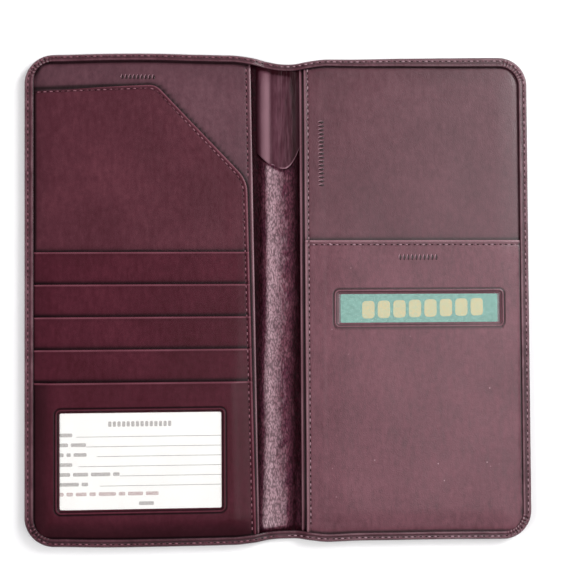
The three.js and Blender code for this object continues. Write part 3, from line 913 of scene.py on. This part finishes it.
def turned_corner(line, corner, reach, steps=8):
    """The polyline with one corner replaced by a smooth turn that starts and ends reach
    before and after it: a quadratic curve through the corner's control point."""
    a, p, b = line[corner - 1], line[corner], line[corner + 1]
    start = p + (a - p) / np.linalg.norm(a - p) * reach
    end = p + (b - p) / np.linalg.norm(b - p) * reach
    t = np.linspace(0, 1, steps)[:, None]
    curve = start * (1 - t) ** 2 + 2 * p * t * (1 - t) + end * t**2
    return np.concatenate([line[:corner], curve, line[corner + 1:]])


def ticket_edge(inset=0.0):
    """Mouth of the ticket pocket from the side edge to the spine: level, then slanting down
    to the gutter edge; inset moves every run of it into the leather."""
    line = np.array([
        [-HALF_WIDTH, 99.7 - inset],
        [-59.1 - 0.41 * inset, 102.4 - inset],
        [-edge_at(LEFT_UPPER_EDGE, TICKET_LOW) - inset, TICKET_LOW - 0.41 * inset],
        [-edge_at(LEFT_UPPER_EDGE, -HALF_HEIGHT) - inset, -HALF_HEIGHT],
    ])
    line = turned_corner(line, 2, 6.0)
    return turned_corner(line, 1, 3.4)


def mouth_line(y):
    """A mouth across the left half, level at height y."""
    return np.array([[-HALF_WIDTH, y], [-12.0, y]])


TICKET_LOW = 56.6  # where the slant of the ticket pocket meets its gutter edge
SLOT_TOPS = [22.2 - 15.4 * k for k in range(4)]
ID_MOUTH = -39.4
ID_WINDOW = (np.array([-66.4, -76.2]), np.array([77.0, 46.6]), 1.5)
ticket_outline = ticket_edge()
ticket_mouth = ticket_outline[ticket_outline[:, 1] > 40]
ticket_row = ticket_edge(ROW_INSET)
BACK_ROW_INSET = 2.2
back_row = gutter_line(-1, LEFT_REAR_EDGE, BACK_ROW_INSET, 57.0, ROW_END)
left_row = gutter_line(-1, LEFT_UPPER_EDGE, ROW_INSET, -ROW_END, ROW_END)
left_edge = gutter_line(-1, LEFT_UPPER_EDGE)

ticket_back = Panel(
    -1, LEFT_REAR_EDGE, top=3.1, rim=2.6,
    free=[(gutter_line(-1, LEFT_REAR_EDGE), 0.35, 8)],
    sewn=[back_row],
    over=[ticket_outline],
)
ticket_front = Panel(
    -1, LEFT_UPPER_EDGE, top=4.0, rim=3.6,
    free=[(ticket_outline, 0.85, 8.5)],
    sewn=[ticket_row],
    over=[mouth_line(SLOT_TOPS[0])],
)
full_panel(
    "ticket_back_left", ticket_back, PANEL_THICK, BACK, "ticket_back_panel",
    dense=[(BACK_ROW_INSET, 0.8, 0.22)],
)


def ticket_panel():
    """Front of the ticket pocket: u is the share of the way from the gutter edge to the side,
    v the share of the way up to the mouth, whose height is read off its line at each u. The
    two depend on each other, so each point is brought to its place in twelve steps."""
    width = HALF_WIDTH - UNDER_TAPE - LEFT_UPPER_EDGE[0]
    u = graded(0, width, 1.6, (0, 0.5, 0.08), (ROW_INSET, 0.8, 0.25)) / width
    tall = REACH + 100
    v = graded(0, tall, 0.8, (tall, 0.8, 0.1)) / tall
    v, u = np.meshgrid(v, u, indexing="ij")
    x = np.full(u.shape, -60.0)
    y = np.zeros(u.shape)
    for _ in range(12):
        top = np.interp(x, *ticket_mouth.T)
        y = (-REACH + (top + REACH) * v) * 0.6 + y * 0.4
        near = edge_at(LEFT_UPPER_EDGE, y)
        x = -(near + (side_x(y, UNDER_TAPE) - near) * u)
    y = drawn_in(x, y)
    finish_panel(
        "ticket_pocket_left", ticket_front, x, y, PANEL_THICK, TICKET, "ticket_pocket_front"
    )


ticket_panel()


def slot_panel(index, top_y):
    """One card slot: a strip of leather across the half, whose upper edge is the slot's
    mouth, with a narrower tongue below it that makes the pocket's back. Each slot lies a
    little higher than the one above it."""
    deep, strip, tongue_inset = 56.0, 21.0, 6.0
    panel = Panel(
        -1, LEFT_UPPER_EDGE,
        top=4.5 + 0.4 * index, rim=3.85 + 0.15 * index, seam=4.4 + 0.2 * index,
        free=[(mouth_line(top_y), 0.42, 6.5), (left_edge, 0.5, 6.5)],
        sewn=[left_row],
        over=[mouth_line((SLOT_TOPS + [ID_MOUTH])[index + 1])],
    )
    v = graded(0, deep, 1.3, (0, 0.5, 0.07), (strip, 1.0, 0.5))
    width = HALF_WIDTH - UNDER_TAPE - LEFT_UPPER_EDGE[0]
    u = graded(0, width, 1.3, (0, 0.5, 0.08), (ROW_INSET, 0.7, 0.25)) / width
    v, u = np.meshgrid(v, u, indexing="ij")
    y = top_y - v
    near, wide = edge_at(LEFT_UPPER_EDGE, y), side_x(y, UNDER_TAPE)
    tongue = tongue_inset * smooth(v, strip - 0.6, strip + 0.6)
    x = -(near + tongue + (wide - near - 2 * tongue) * u)
    number = index + 1
    name, node = f"card_slot_left_{number}", f"card_slot_{number}"
    finish_panel(name, panel, x, y, SLOT_THICK, POCKET, node)
    return panel


slots = [slot_panel(k, y) for k, y in enumerate(SLOT_TOPS)]
# the window pocket gets the strongest painted shade over its margin
id_front = Panel(
    -1, LEFT_UPPER_EDGE, top=7.6, rim=4.5, seam=5.3, fall=10.5, slope=8.8, margin_shade=0.62,
    free=[(mouth_line(ID_MOUTH), 0.8, 8), (left_edge, 0.75, 8)],
    sewn=[left_row],
    window=ID_WINDOW,
)
window_panel(
    "id_pocket_left", id_front, ID_MOUTH, POCKET_THICK, POCKET, "id_window_panel",
    steps=(120, 90, 120, 90),
    close_set=[(0, 0.02, 0.012), (0.12, 0.04, 0.02), (0.88, 0.03, 0.014), (1, 0.0, 0.006)],
)


def left_top(x, y):
    """Height of whichever leather lies uppermost on the left half, beside the gutter."""
    above_ticket = y > np.interp(x, *ticket_mouth.T)
    z = np.where(above_ticket, ticket_back(x, y), ticket_front(x, y))
    for panel, top_y in zip(slots, SLOT_TOPS):
        z = np.where(y < top_y, panel(x, y), z)
    return np.where(y < ID_MOUTH, id_front(x, y), z)


long_row = np.concatenate([ticket_row[ticket_row[:, 1] > -112], left_row[:1]])
stitch_row("ticket_pocket_stitches", long_row, left_top, "left_half", start=5.5, stop=0.3)
stitch_row(
    "ticket_back_stitches", back_row[::-1], ticket_back, "left_half", start=0.5, stop=0.3
)


# ---- across the spine: cover, roll, pen sleeve and tape -----------------------------------

def cover_half(side):
    """Outer cover: u from the middle of the spine to the side edge, v from tail to head. Its
    outside looks down; it is thinned where the tape turns under it, and pressed in along the
    crease: its height is one minus smooth of the distance from the rim, a bell at the crease
    and a slow unevenness."""
    u = graded(0, 1, 0.016, (0.05, 0.03, 0.004), (0.97, 0.02, 0.005))
    v = graded(-REACH, REACH, 1.7, (-REACH, 5, 0.5), (REACH, 5, 0.5))
    v, u = np.meshgrid(v, u, indexing="ij")
    x = side_x(v, UNDER_TAPE) * u
    y = drawn_in(side * x, v)
    margin = rim_distance(side * x, y)
    z = 0.55 * (1 - smooth(margin, TAPE_WIDTH - 0.2, TAPE_WIDTH + 1.0))
    uneven = 0.06 * (1 + noise(side * x, y, 37, 45, 21)) * smooth(margin, TAPE_WIDTH, 12)
    z = z + 0.28 * bell(x, CREASE_X, 0.8) + uneven
    obj = sheet_of(f"cover_{WORD[side]}", side * x, y, z, COVER_THICK, COVER, outside=-1)
    nodes = [f"outer_cover_{WORD[side]}"] + ["spine_cover"] * (side > 0)
    across_fold(obj, nodes)


def end_share(x, y):
    """1 along the spine, falling to 0 over the last 10 mm, where the tape flattens the roll."""
    return smooth(HALF_HEIGHT - dip(x, y) - TAPE_WIDTH - np.abs(y), -1.5, 10.0)


# sections of the roll and the sleeve as (x, height), and their painted light and shade as (x,
# tone), pale where a highlight is painted and dark where shade is painted
ROLL_SECTION = [
    (-14.6, 2.2), (-12.4, 2.2), (-11.4, 1.75), (-9.8, 1.6), (-8.4, 2.05), (-6.6, 3.15),
    (-4.4, 3.6), (-1.2, 3.5), (2.0, 3.05), (4.8, 2.45), (6.9, 1.75), (8.4, 1.6), (11.2, 1.6),
]
ROLL_PAINTED_LIGHT = [
    (-14.6, -0.9), (-10.6, -1), (-8.6, -0.75), (-7.0, 0.1), (-5.2, 0.6), (-3.0, 0.5),
    (-0.6, 0.3), (1.5, 0.12), (4.2, -0.08), (6.2, -0.6), (7.6, -1), (9.0, -1), (11.2, -0.6),
]
SLEEVE_SECTION = [
    (-11.4, 1.8), (-10.7, 2.15), (-9.6, 3.1), (-7.8, 3.85), (-5.2, 3.9), (-3.9, 3.42),
    (-2.4, 3.52), (0.2, 3.45), (2.6, 3.2), (5.0, 2.9), (6.8, 2.35), (8.2, 1.95), (9.9, 1.9),
]
SLEEVE_PAINTED_LIGHT = [
    (-11.4, -1), (-10.6, -0.8), (-9.6, -0.1), (-7.8, 0.4), (-5.4, 0.38), (-3.9, -0.35),
    (-2.4, -0.22), (1.0, -0.28), (3.5, -0.45), (5.4, -0.65), (6.8, -1), (8.2, -0.85),
    (9.9, -0.5),
]
FLATTENED = 2.0  # height of roll and sleeve where the tape holds them


def roll_wander(y):
    """How far the roll stands to the left of its mean line: it leans over towards the tail."""
    return 0.35 * noise(y * 0, y, 9, 31, 41) - 0.021 * np.minimum(y, 0)


def roll_height(x, y):
    """Soft roll along the spine: its section, leaning to the left half, wanders a little with
    the height and flattens under the tape; long folds are bells; the pebbled wrinkles are
    noise drawn out along the spine."""
    wander = roll_wander(y)
    share = end_share(x, y)
    z = through(x + wander * bell(x, -1, 6), ROLL_SECTION)
    z = z * (0.35 + 0.65 * share) + np.minimum(z, FLATTENED) * 0.65 * (1 - share)
    z -= 0.22 * bell(x, 3.4 + 1.2 * wander, 0.45) + 0.3 * bell(x, 5.6 - wander, 0.6)
    z -= 0.16 * bell(x, -0.6 + 1.5 * wander, 0.4) + 0.2 * bell(x, -7.6 + 0.5 * wander, 0.6)
    fine = 0.13 * noise(x, y, 1.1, 3.6, 42) + 0.09 * noise(x, y, 0.62, 1.8, 43)
    broad = 0.13 * noise(x, y, 3.2, 13, 44)
    side = 1 - smooth(np.abs(x), 7.6, 9.4)
    return z + (fine + broad) * (0.2 + 0.8 * share) * (0.25 + 0.75 * side)


def roll_painted_light(x, y):
    """Painted highlight along the crest left of the middle, widened into a painted sheen towards
    the tail; painted shade on the flank to the right and darkest in both valleys; a little random
    mottling; and the painted shadow at the foot of the tape."""
    tone = through(x + roll_wander(y), ROLL_PAINTED_LIGHT)
    tone = tone + 0.14 * noise(x, y, 0.8, 2.2, 42) + 0.05 * noise(x, y, 2.4, 9, 46)
    # painted sheen on the crest towards the tail
    tone = tone + 0.3 * smooth(-y, 70, 104) * bell(x, -0.5, 7)
    return np.clip(tone - tape_foot_shadow(x, y), -1, 1)


def tape_foot_shadow(x, y):
    """Painted shadow along the foot of the tape's inner edge."""
    return 1.8 * bell(rim_distance(x, y), TAPE_WIDTH + 0.3, 1.1)


def sleeve_mouth(x):
    """Height of the sleeve's mouth: lowest a little right of the middle, rising as the square of
    the distance from there, more steeply on the right."""
    return 61.9 + (0.05 + 0.12 * smooth(x, 0, 4)) * (x - 1.7) ** 2


def wrinkled_part(x):
    """1 over the wrinkled part of the sleeve, from the fold line to the right flank."""
    return smooth(x, -4.2, -2.0) * (1 - smooth(x, 6.0, 8.0))


def sleeve_height(x, y):
    """Thinner skin drawn over the roll: a smooth crest on the left, a fold line beside it,
    and fine upright wrinkles down to the right."""
    wander = 0.5 * noise(x * 0, y, 9, 34, 51)
    share = end_share(x, y)
    z = through(x + wander * bell(x, -1, 6), SLEEVE_SECTION)
    z = z * (0.4 + 0.6 * share) + np.minimum(z, FLATTENED + 0.35) * 0.6 * (1 - share)
    wrinkled = wrinkled_part(x)
    z += wrinkled * (0.1 * noise(x, y, 0.95, 8, 52) + 0.06 * noise(x, y, 0.6, 3.4, 54))
    z -= 0.14 * wrinkled * (bell(x, 0.4 + 2 * wander, 0.3) + bell(x, 4.6 - 2 * wander, 0.3))
    z += 0.05 * noise(x, y, 3.6, 19, 53)
    return z - rolled(y - sleeve_mouth(x), 0.5, 0.7)


def sleeve_painted_light(x, y):
    """Painted highlight on the smooth crest, the wrinkled part middling with painted light and
    shade on its fine wrinkles, painted shade down both sides and towards the head, a painted
    highlight along the mouth's edge, and the painted shadow at the foot of the tape.
    """
    tone = through(x, SLEEVE_PAINTED_LIGHT)
    # painted light and shade on the wrinkles, following their relief
    lines = 0.16 * noise(x, y, 0.95, 8, 52) + 0.2 * noise(x, y, 0.6, 3.4, 54)
    tone = tone + wrinkled_part(x) * lines
    # painted highlight along the edge of the sleeve's mouth
    tone = tone + 1.4 * bell(y - sleeve_mouth(x), 0.4, 0.45) * smooth(x, -2, 3)
    # painted shade towards the head and the painted shadow at the foot of the tape
    return np.clip(tone - 0.3 * smooth(y, 100, 112) - tape_foot_shadow(x, y), -1, 1)


def spine_half(side):
    """The roll and, over its head end, the pen sleeve, from the middle of the spine outwards
    to under the free edges of the panels."""
    roll_wide, sleeve_wide = (11.2, 9.9) if side > 0 else (14.6, 11.2)
    u = graded(0, roll_wide, 0.28, (0, 0.3, 0.12))
    v = graded(-REACH + 1, REACH - 1, 0.7)
    v, u = np.meshgrid(v, u, indexing="ij")
    x, y = side * u, drawn_in(side * u, v)
    under = 0.7 * smooth(y - sleeve_mouth(x), 0.0, 2.0) * (1 - smooth(np.abs(x), 6.5, 8.5))
    z = roll_height(x, y) - under
    # painted shadow under the sleeve's mouth, falling on the roll
    tone = roll_painted_light(x, y) - 0.9 * bell(y - sleeve_mouth(x), -0.1, 0.8)
    tone = np.clip(tone, -1, 1)
    obj = sheet_of(f"spine_roll_{WORD[side]}", x, y, z, ROLL_THICK, SPINE, tone)
    across_fold(obj, ["spine_lining"] * (side > 0))
    u = graded(0, sleeve_wide, 0.24, (0, 0.3, 0.12))
    v = graded(0, 1, 0.012, (0, 0.01, 0.0015))
    v, u = np.meshgrid(v, u, indexing="ij")
    x = side * u
    low, high = sleeve_mouth(x), HALF_HEIGHT - dip(x, np.ones_like(x)) - 2.0
    y = low + (high - low) * v
    z, tone = sleeve_height(x, y), sleeve_painted_light(x, y)
    obj = sheet_of(f"pen_sleeve_{WORD[side]}", x, y, z, SLEEVE_THICK, SLEEVE, tone)
    across_fold(obj, ["pen_sleeve"] * (side > 0))


def tape_top(x, y):
    """Height of the edge tape: low over the spine, full height where it covers the panels,
    and one thickness more past the overlap at the tail edge of the right half."""
    at_spine = 3.0
    level = at_spine + (TAPE_TOP - at_spine) * smooth(np.abs(x), 6.2, 13.0)
    lap = smooth(x, 17.4, 18.0) * (1 - smooth(x, 26, 38)) * (y < 0)
    return level + 0.2 * lap + 0.08 * noise(x, y, 16, 16, 61)


TAPE_ROW = 1.8  # from the outer edge to the tape's stitched row
TAPE_GROOVE = 2.6


def tape_section(n):
    """Upper face of the tape at distance n in from the outer edge, below its full height: a
    quarter ellipse at the outside, hollows at the stitched row and the groove, a ridge beside
    them and a rolled inner edge."""
    z = -rolled(n, 1.7, 1.25)
    z = z - 0.22 * bell(n, TAPE_GROOVE, 0.35) - 0.12 * bell(n, TAPE_ROW, 0.35)
    z = z + 0.05 * bell(n, 3.6, 0.5)
    return z - rolled(TAPE_WIDTH - n, 0.65, 0.45)


def corner_pleats(x, y, along, n):
    """Gathers of the tape round a corner: ridges about 2 mm apart, strongest at the middle of
    the arc and inwards, where the leather has most to take up."""
    up, out = np.abs(y) - HALF_HEIGHT + CORNER_RADIUS, np.abs(x) - HALF_WIDTH + CORNER_RADIUS
    turn = np.degrees(np.arctan2(up, out))
    in_arc = smooth(turn, 2, 22) * (1 - smooth(turn, 68, 88))
    level = np.zeros_like(along)
    uneven = 0.6 + 0.5 * noise(along, level, 3.1, 9, 63)
    phase = 2 * math.pi * along / 2.05 + 1.8 * noise(along, level, 5.0, 9, 64)
    return 0.28 * in_arc * uneven * np.cos(phase) * smooth(n, 0.0, 2.4)


def tape_painted_light(side, x, y, n, pleats):
    """Painted highlights on the ridge and the outer shoulder of the tape, painted shade in the
    groove and the row and at both edges, painted light and shade over the corner pleats following
    their height, painted shade along the tail of the left half, and random mottling."""
    ridge = 0.2 * (1 - 0.9 * smooth(y, 100, 112)) * bell(n, 3.75, 0.35)
    row = 0.5 * bell(n, TAPE_GROOVE, 0.35) + 0.15 * bell(n, TAPE_ROW, 0.35)
    edges = 0.25 * bell(n, 1.0, 0.4) - 0.45 * bell(n, 0, 0.45) - 0.9 * bell(n, TAPE_WIDTH, 0.28)
    # painted shade along the tail of the left half
    tail = 0.3 * smooth(-y, 95, 112) * (1 - smooth(side * x, -20, 30))
    # the pleats get painted light on their crests and painted shade in their troughs
    tone = ridge - row + edges + 1.8 * pleats + 0.12 * noise(x, y, 5, 5, 66) - tail
    return np.clip(tone, -1, 1)


def tape_half(side):
    """Leather tape folded over the edge of one half, from the middle of the head to the middle
    of the tail: the section is carried along the outline, square to it. It runs over the top
    from its inner edge, down the outer wall and under the cover."""
    line = outline(side)
    inward = normals_of(line)
    over = graded(TAPE_WIDTH, 0, 0.3, (TAPE_WIDTH, 0.2, 0.07), (0, 0.2, 0.07))
    under = graded(0, TAPE_WIDTH, 0.5, (0, 0.2, 0.1), (TAPE_WIDTH, 0.2, 0.1))
    drop = np.linspace(0, 1, 7)[None, 1:-1]  # share of the way down the outer wall
    n = np.concatenate([over, np.zeros(drop.size), under])[None, :]
    wall = slice(len(over), len(over) + drop.size)
    below = slice(wall.stop, None)
    x, y = line[:, :1] * np.ones_like(n), line[:, 1:] * np.ones_like(n)
    along = (length_along(line) + 40 * (side < 0))[:, None] * np.ones_like(n)
    crest, bottom = tape_top(side * x, y), 0.55
    pleats = corner_pleats(x, y, along, n)
    z = crest + tape_section(n) + pleats
    lip = crest + tape_section(0.0)
    z[:, wall] = lip[:, wall] + (bottom - lip[:, wall]) * drop
    foot = bottom - bottom * np.sqrt(np.maximum(1 - np.clip(1 - n / 0.9, 0, 1) ** 2, 0))
    foot = foot + 0.2 * bell(n, TAPE_ROW, 0.45) + rolled(TAPE_WIDTH - n, 0.4, 0.5)
    z[:, below] = foot[:, below]
    bulge = 0.2 * np.abs(corner_pleats(x, y, along, 2.0)) * (n < 1.2)
    shift = n * tape_width(side * x, y) / TAPE_WIDTH - bulge
    shift[:, wall] -= 0.1 * np.sin(math.pi * drop)
    px = x + inward[:, :1] * shift
    py = y + inward[:, 1:] * shift
    px[[0, -1]] = 0.0
    tone = tape_painted_light(side, x, y, n, pleats)
    obj = sheet_of(f"edge_tape_{WORD[side]}", side * px, py, z, TAPE_THICK, TAPE, tone)
    if obj.data.polygons[len(over) // 2].normal.z < 0:
        obj.data.flip_normals()
    nodes = [f"edge_binding_{WORD[side]}"]
    nodes += ["spine_binding_head", "spine_binding_tail"] * (side > 0)
    across_fold(obj, nodes)


def tape_surface(x, y):
    """Height of the tape's upper face at its stitched row."""
    return tape_top(x, y) + tape_section(TAPE_ROW) - 0.02


def tape_underside(x, y):
    """Height of the tape's lower face at its stitched row."""
    return np.full_like(x, 0.22)


def tape_stitches(side):
    """The stitched row round one half, on top and underneath."""
    line = outline(side)
    width = tape_width(side * line[:, :1], line[:, 1:])
    row = line + normals_of(line) * TAPE_ROW * width / TAPE_WIDTH
    row[[0, -1], 0] = 0.0
    row = row * [side, 1]
    # the top row on the right half uses the thread painted lighter, for the brighter light there
    upper_thread = THREAD_PAINTED_LIT if side > 0 else THREAD
    for name, surface, flip, thread in [
        ("tape_stitches_", tape_surface, 1, upper_thread),
        ("tape_stitches_under_", tape_underside, -1, THREAD),
    ]:
        stitch_row(
            name + WORD[side], row, surface, None, start=0, stop=0, flip=flip, across=side,
            thread=thread,
        )


for side in (1, -1):
    cover_half(side)
    spine_half(side)
    tape_half(side)
    tape_stitches(side)


# ---- linings, window cards and panes ------------------------------------------------------

def lining_cloth(side):
    """Cloth laid over the board of one half, with the weave's slight unevenness, and sunk
    under the roll beside the crease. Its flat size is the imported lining's plan."""
    node = f"lining_{WORD[side]}"
    low, high = box_mm(node)
    radius = CORNER_RADIUS - TAPE_WIDTH
    u, v = np.meshgrid(np.linspace(0, 1, 60), np.linspace(low[1], high[1], 110))
    inner, outer = (low[0], high[0]) if side > 0 else (-high[0], -low[0])
    past = np.clip(np.abs(v) - (high[1] - radius), 0, radius)
    wide = outer - radius + np.sqrt(np.maximum(radius**2 - past**2, 0))
    x = side * (inner + (wide - inner) * u)
    z = high[2] - 0.05 + 0.03 * noise(x, v, 24, 31, 71)
    z = z - 0.65 * (1 - smooth(np.abs(x), 10.2, 12.9))
    obj = sheet_of(f"lining_cloth_{WORD[side]}", x, v, z, CLOTH_THICK, LINING)
    place_in(obj, f"{WORD[side]}_half", node)


lining_cloth(1)
lining_cloth(-1)


INK_LIFT, INK_THICKNESS = 0.005, 0.03


def slab_rows(name, material, body, rows, face):
    """Thin flat marks, each given by its centre, width, height and slant: bars of ink whose
    outline is a rounded rectangle, laid on the card whose upper face is at height face."""
    points, faces = [], []
    for cx, cy, wide, tall, slant in rows:
        corners = SQUARE * [wide / 2, tall / 2]
        loop = rounded_loop(corners, min(wide, tall) * 0.3, 4, (1, 1, 1, 1)) + [cx, cy]
        loop[:, 1] += (loop[:, 0] - cx) * slant
        n = len(loop)
        start = 2 * n * len(points)
        foot = np.c_[loop, np.full(n, face + INK_LIFT)]
        points.append(np.concatenate([foot, foot + [0, 0, INK_THICKNESS]]))
        ring = [(start + k, start + (k + 1) % n) for k in range(n)]
        faces.append([a for a, _ in ring][::-1])
        faces.append([a + n for a, _ in ring])
        faces.extend([a, b, b + n, a + n] for a, b in ring)
    obj = make(name, np.concatenate(points), faces, material)
    obj.data.polygons.foreach_set("use_smooth", np.zeros(len(obj.data.polygons), bool))
    place_in(obj, body)


def window_pane(node, body, level):
    """Clear sheet behind a window, with a slow ripple a few centimetres long, cut a little
    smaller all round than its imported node."""
    low, high = box_mm(node)
    inset = 0.4
    across = np.linspace(low[0] + inset, high[0] - inset, 60)
    up = np.linspace(low[1] + inset, high[1] - inset, 40)
    x, y = np.meshgrid(across, up)
    z = level + 0.035 * noise(x, y, 19, 15, 91)
    obj = sheet_of(node + "_clear", x, y, z, PANE_THICK, VINYL)
    place_in(obj, body, node)


def window_lip(name, side, window, material, level, wide):
    """Strip inside a window where the leather is turned back and glued: rings from just outside the
    opening to wide inside it, falling by a fifth of a millimetre, with a painted shadow darkening
    it along the opening's edge."""
    centre, size, radius = window
    hidden, steps = 1.2, (40, 20, 40, 20)
    outer = rounded_loop(centre + SQUARE * (size / 2 + hidden), radius + hidden, 8, steps)
    inner = rounded_loop(centre + SQUARE * (size / 2 - wide), max(radius - wide, 0.3), 8, steps)
    share = np.linspace(0, 1, 9)[None, :, None]
    points = inner[:, None] * (1 - share) + outer[:, None] * share
    x, y = points[..., 0], points[..., 1]
    d = beyond(x, y, *window)
    z = level - 0.2 * smooth(-d, 0, wide) - rolled(d + wide, 0.14, 0.2)
    # painted shadow along the opening's edge
    tone = -0.8 * bell(d, 0.2, 0.5)
    obj = sheet_of(name, x, y, z, LIP_THICK, material, tone, wrap=True)
    place_in(obj, f"{WORD[side]}_half")


window_pane("passport_window_pane", "right_half", level=4.7)
window_pane("id_window_pane", "left_half", level=6.63)
window_lip("passport_window_lip", 1, PASSPORT_WINDOW, FRONT, level=5.05, wide=0.9)
window_lip("id_window_lip", -1, ID_WINDOW, POCKET, level=6.98, wide=0.75)

for node, material in [
    ("stiffener_board_right", BOARD),
    ("stiffener_board_left", BOARD),
    ("window_label_card", GREEN_CARD),
    ("id_insert_card", CARD),
]:
    slots_of_node = bpy.data.objects[node].data.materials
    slots_of_node.clear()
    slots_of_node.append(material)


def label_blocks():
    """Eight plain blocks in a row on the green card, rising slightly to the right."""
    low, high = box_mm("window_label_card")
    middle = (low + high) / 2 + [1.6, -0.1, 0]
    pitch, climb, wide, tall, slant = 7.55, 0.17, 6.0, 8.4, 0.024
    marks = [
        (middle[0] + k * pitch, middle[1] + k * climb, wide, tall, slant)
        for k in np.arange(8) - 3.5
    ]
    slab_rows("label_blocks", GOLD_INK, "right_half", marks, high[2])


def form_marks():
    """Blank form on the white card: a header row of short bars, and rows of bars in place of
    words with a rule after each. A row is its bars' widths and where its rule starts."""
    rows = [
        ((6,), 8.5), ((4, 7), 13.0), ((2, 2, 6), 18.0), ((6,), 9.5), ((5, 7, 9, 3), 28.5),
        ((9, 3), 19.5), ((2, 3, 5, 3, 8, 3, 7, 6), None), ((7,), None),
    ]
    rose_row, last_row = 6, 7
    step, first_y, header_y, rule_end, gap = 4.6, -63.9, -58.9, 76.2, 1.3
    left = ID_WINDOW[0][0] - ID_WINDOW[1][0] / 2
    head = [(left + 24.0 + 2.15 * k, header_y, 1.5, 2.5, 0) for k in range(14)]
    words, rules, rose = [], [], []
    for k, (widths, rule_start) in enumerate(rows):
        y = first_y - step * k
        x = left + (37.5 if k == last_row else 0.6)
        for wide in widths:
            (rose if k == rose_row else words).append((x + wide / 2, y, wide, 1.7, 0))
            x += wide + gap
        if rule_start:
            middle = left + (rule_start + rule_end) / 2
            rules.append((middle, y - 0.9, rule_end - rule_start, 0.24, 0))
    face = box_mm("id_insert_card")[1][2]
    for name, ink, marks in [
        ("form_header", GREY_INK, head),
        ("form_words", GREY_INK, words),
        ("form_rose_words", RED_INK, rose),
        ("form_rules", RULE_INK, rules),
    ]:
        slab_rows(name, ink, "id_card", marks, face)


label_blocks()
form_marks()


# ---- blind-stamped marks ------------------------------------------------------------------

def stamped_marks(name, surface, side, start, step, count, size):
    """A row of small dark four-sided lozenges, long across the row, laid on the leather where it is
    blind-stamped, each over a paler copy set off to its upper left as a painted highlight."""
    places = np.array(start) + np.arange(count)[:, None] * np.array(step)
    along = np.array(step) / np.linalg.norm(step)
    directions = np.tile([-along[1], along[0]], (count, 1))
    lozenge = pod(size, size * 0.46, 0.05, 1.3, rings=5)
    # paler copies offset to the upper left paint a highlight on each mark's edge
    highlight_at = places + [-0.3, 0.22]
    for label, at, lift, material in [
        (name + "_rims", highlight_at, -0.004, STAMP_PAINTED_HIGHLIGHT), (name, places, 0.012, STAMP)
    ]:
        piece = copies(label, lozenge, at, directions, surface(*at.T) + lift, material)
        place_in(piece, f"{WORD[side]}_half")


for name, surface, side, start, step, count, size in [
    ("stamped_row_ticket", ticket_back, -1, (-75.0, 105.6), (1.85, 0), 9, 2.9),
    ("stamped_row_upper", upper_layer, 1, (20.0, 84.6), (0, -1.9), 17, 2.7),
    ("stamped_row_passport", passport_front, 1, (57.6, 19.3), (1.95, 0), 10, 2.7),
]:
    stamped_marks(name, surface, side, start, step, count, size)


# ---- table and light ----------------------------------------------------------------------

def table():
    """A wide flat top just under the wallet."""
    x, y = np.meshgrid(np.linspace(-1500, 1500, 9), np.linspace(-1500, 1500, 9))
    points = np.stack([x, y, np.full_like(x, -0.05)], -1)
    laminate = table_top("white_laminate_table")
    make("table_top", points, grid_faces(*x.shape).tolist(), laminate)


def soft_light(name, place, aim, size, power, sheen=True):
    """A square lamp at place looking at aim, in millimetres and watts; without sheen it
    brightens the leather but isn't mirrored in its polish."""
    data = bpy.data.lights.new(name, "AREA")
    data.size = size * MM
    data.energy = power
    obj = bpy.data.objects.new(name, data)
    bpy.context.scene.collection.objects.link(obj)
    obj.location = Vector(place) * MM
    obj.rotation_euler = (Vector(aim) - Vector(place)).to_track_quat("-Z", "Y").to_euler()
    obj.visible_glossy = sheen


def studio_world(strength):
    """Even white surroundings."""
    world = bpy.data.worlds.new("white_studio")
    world.use_nodes = True
    background = world.node_tree.nodes["Background"]
    background.inputs["Color"].default_value = (1, 1, 1, 1)
    background.inputs["Strength"].default_value = strength
    bpy.context.scene.world = world


table()
studio_world(0.2)
soft_light("overhead_light", (330, -60, 700), (40, 0, 0), size=520, power=2.0)
soft_light("key_light", (650, 450, 600), (0, 0, 0), size=400, power=7.8)
soft_light("fill_light", (-760, -60, 700), (0, 0, 0), size=500, power=6.0, sheen=False)
bpy.context.scene.view_settings.view_transform = "Standard"
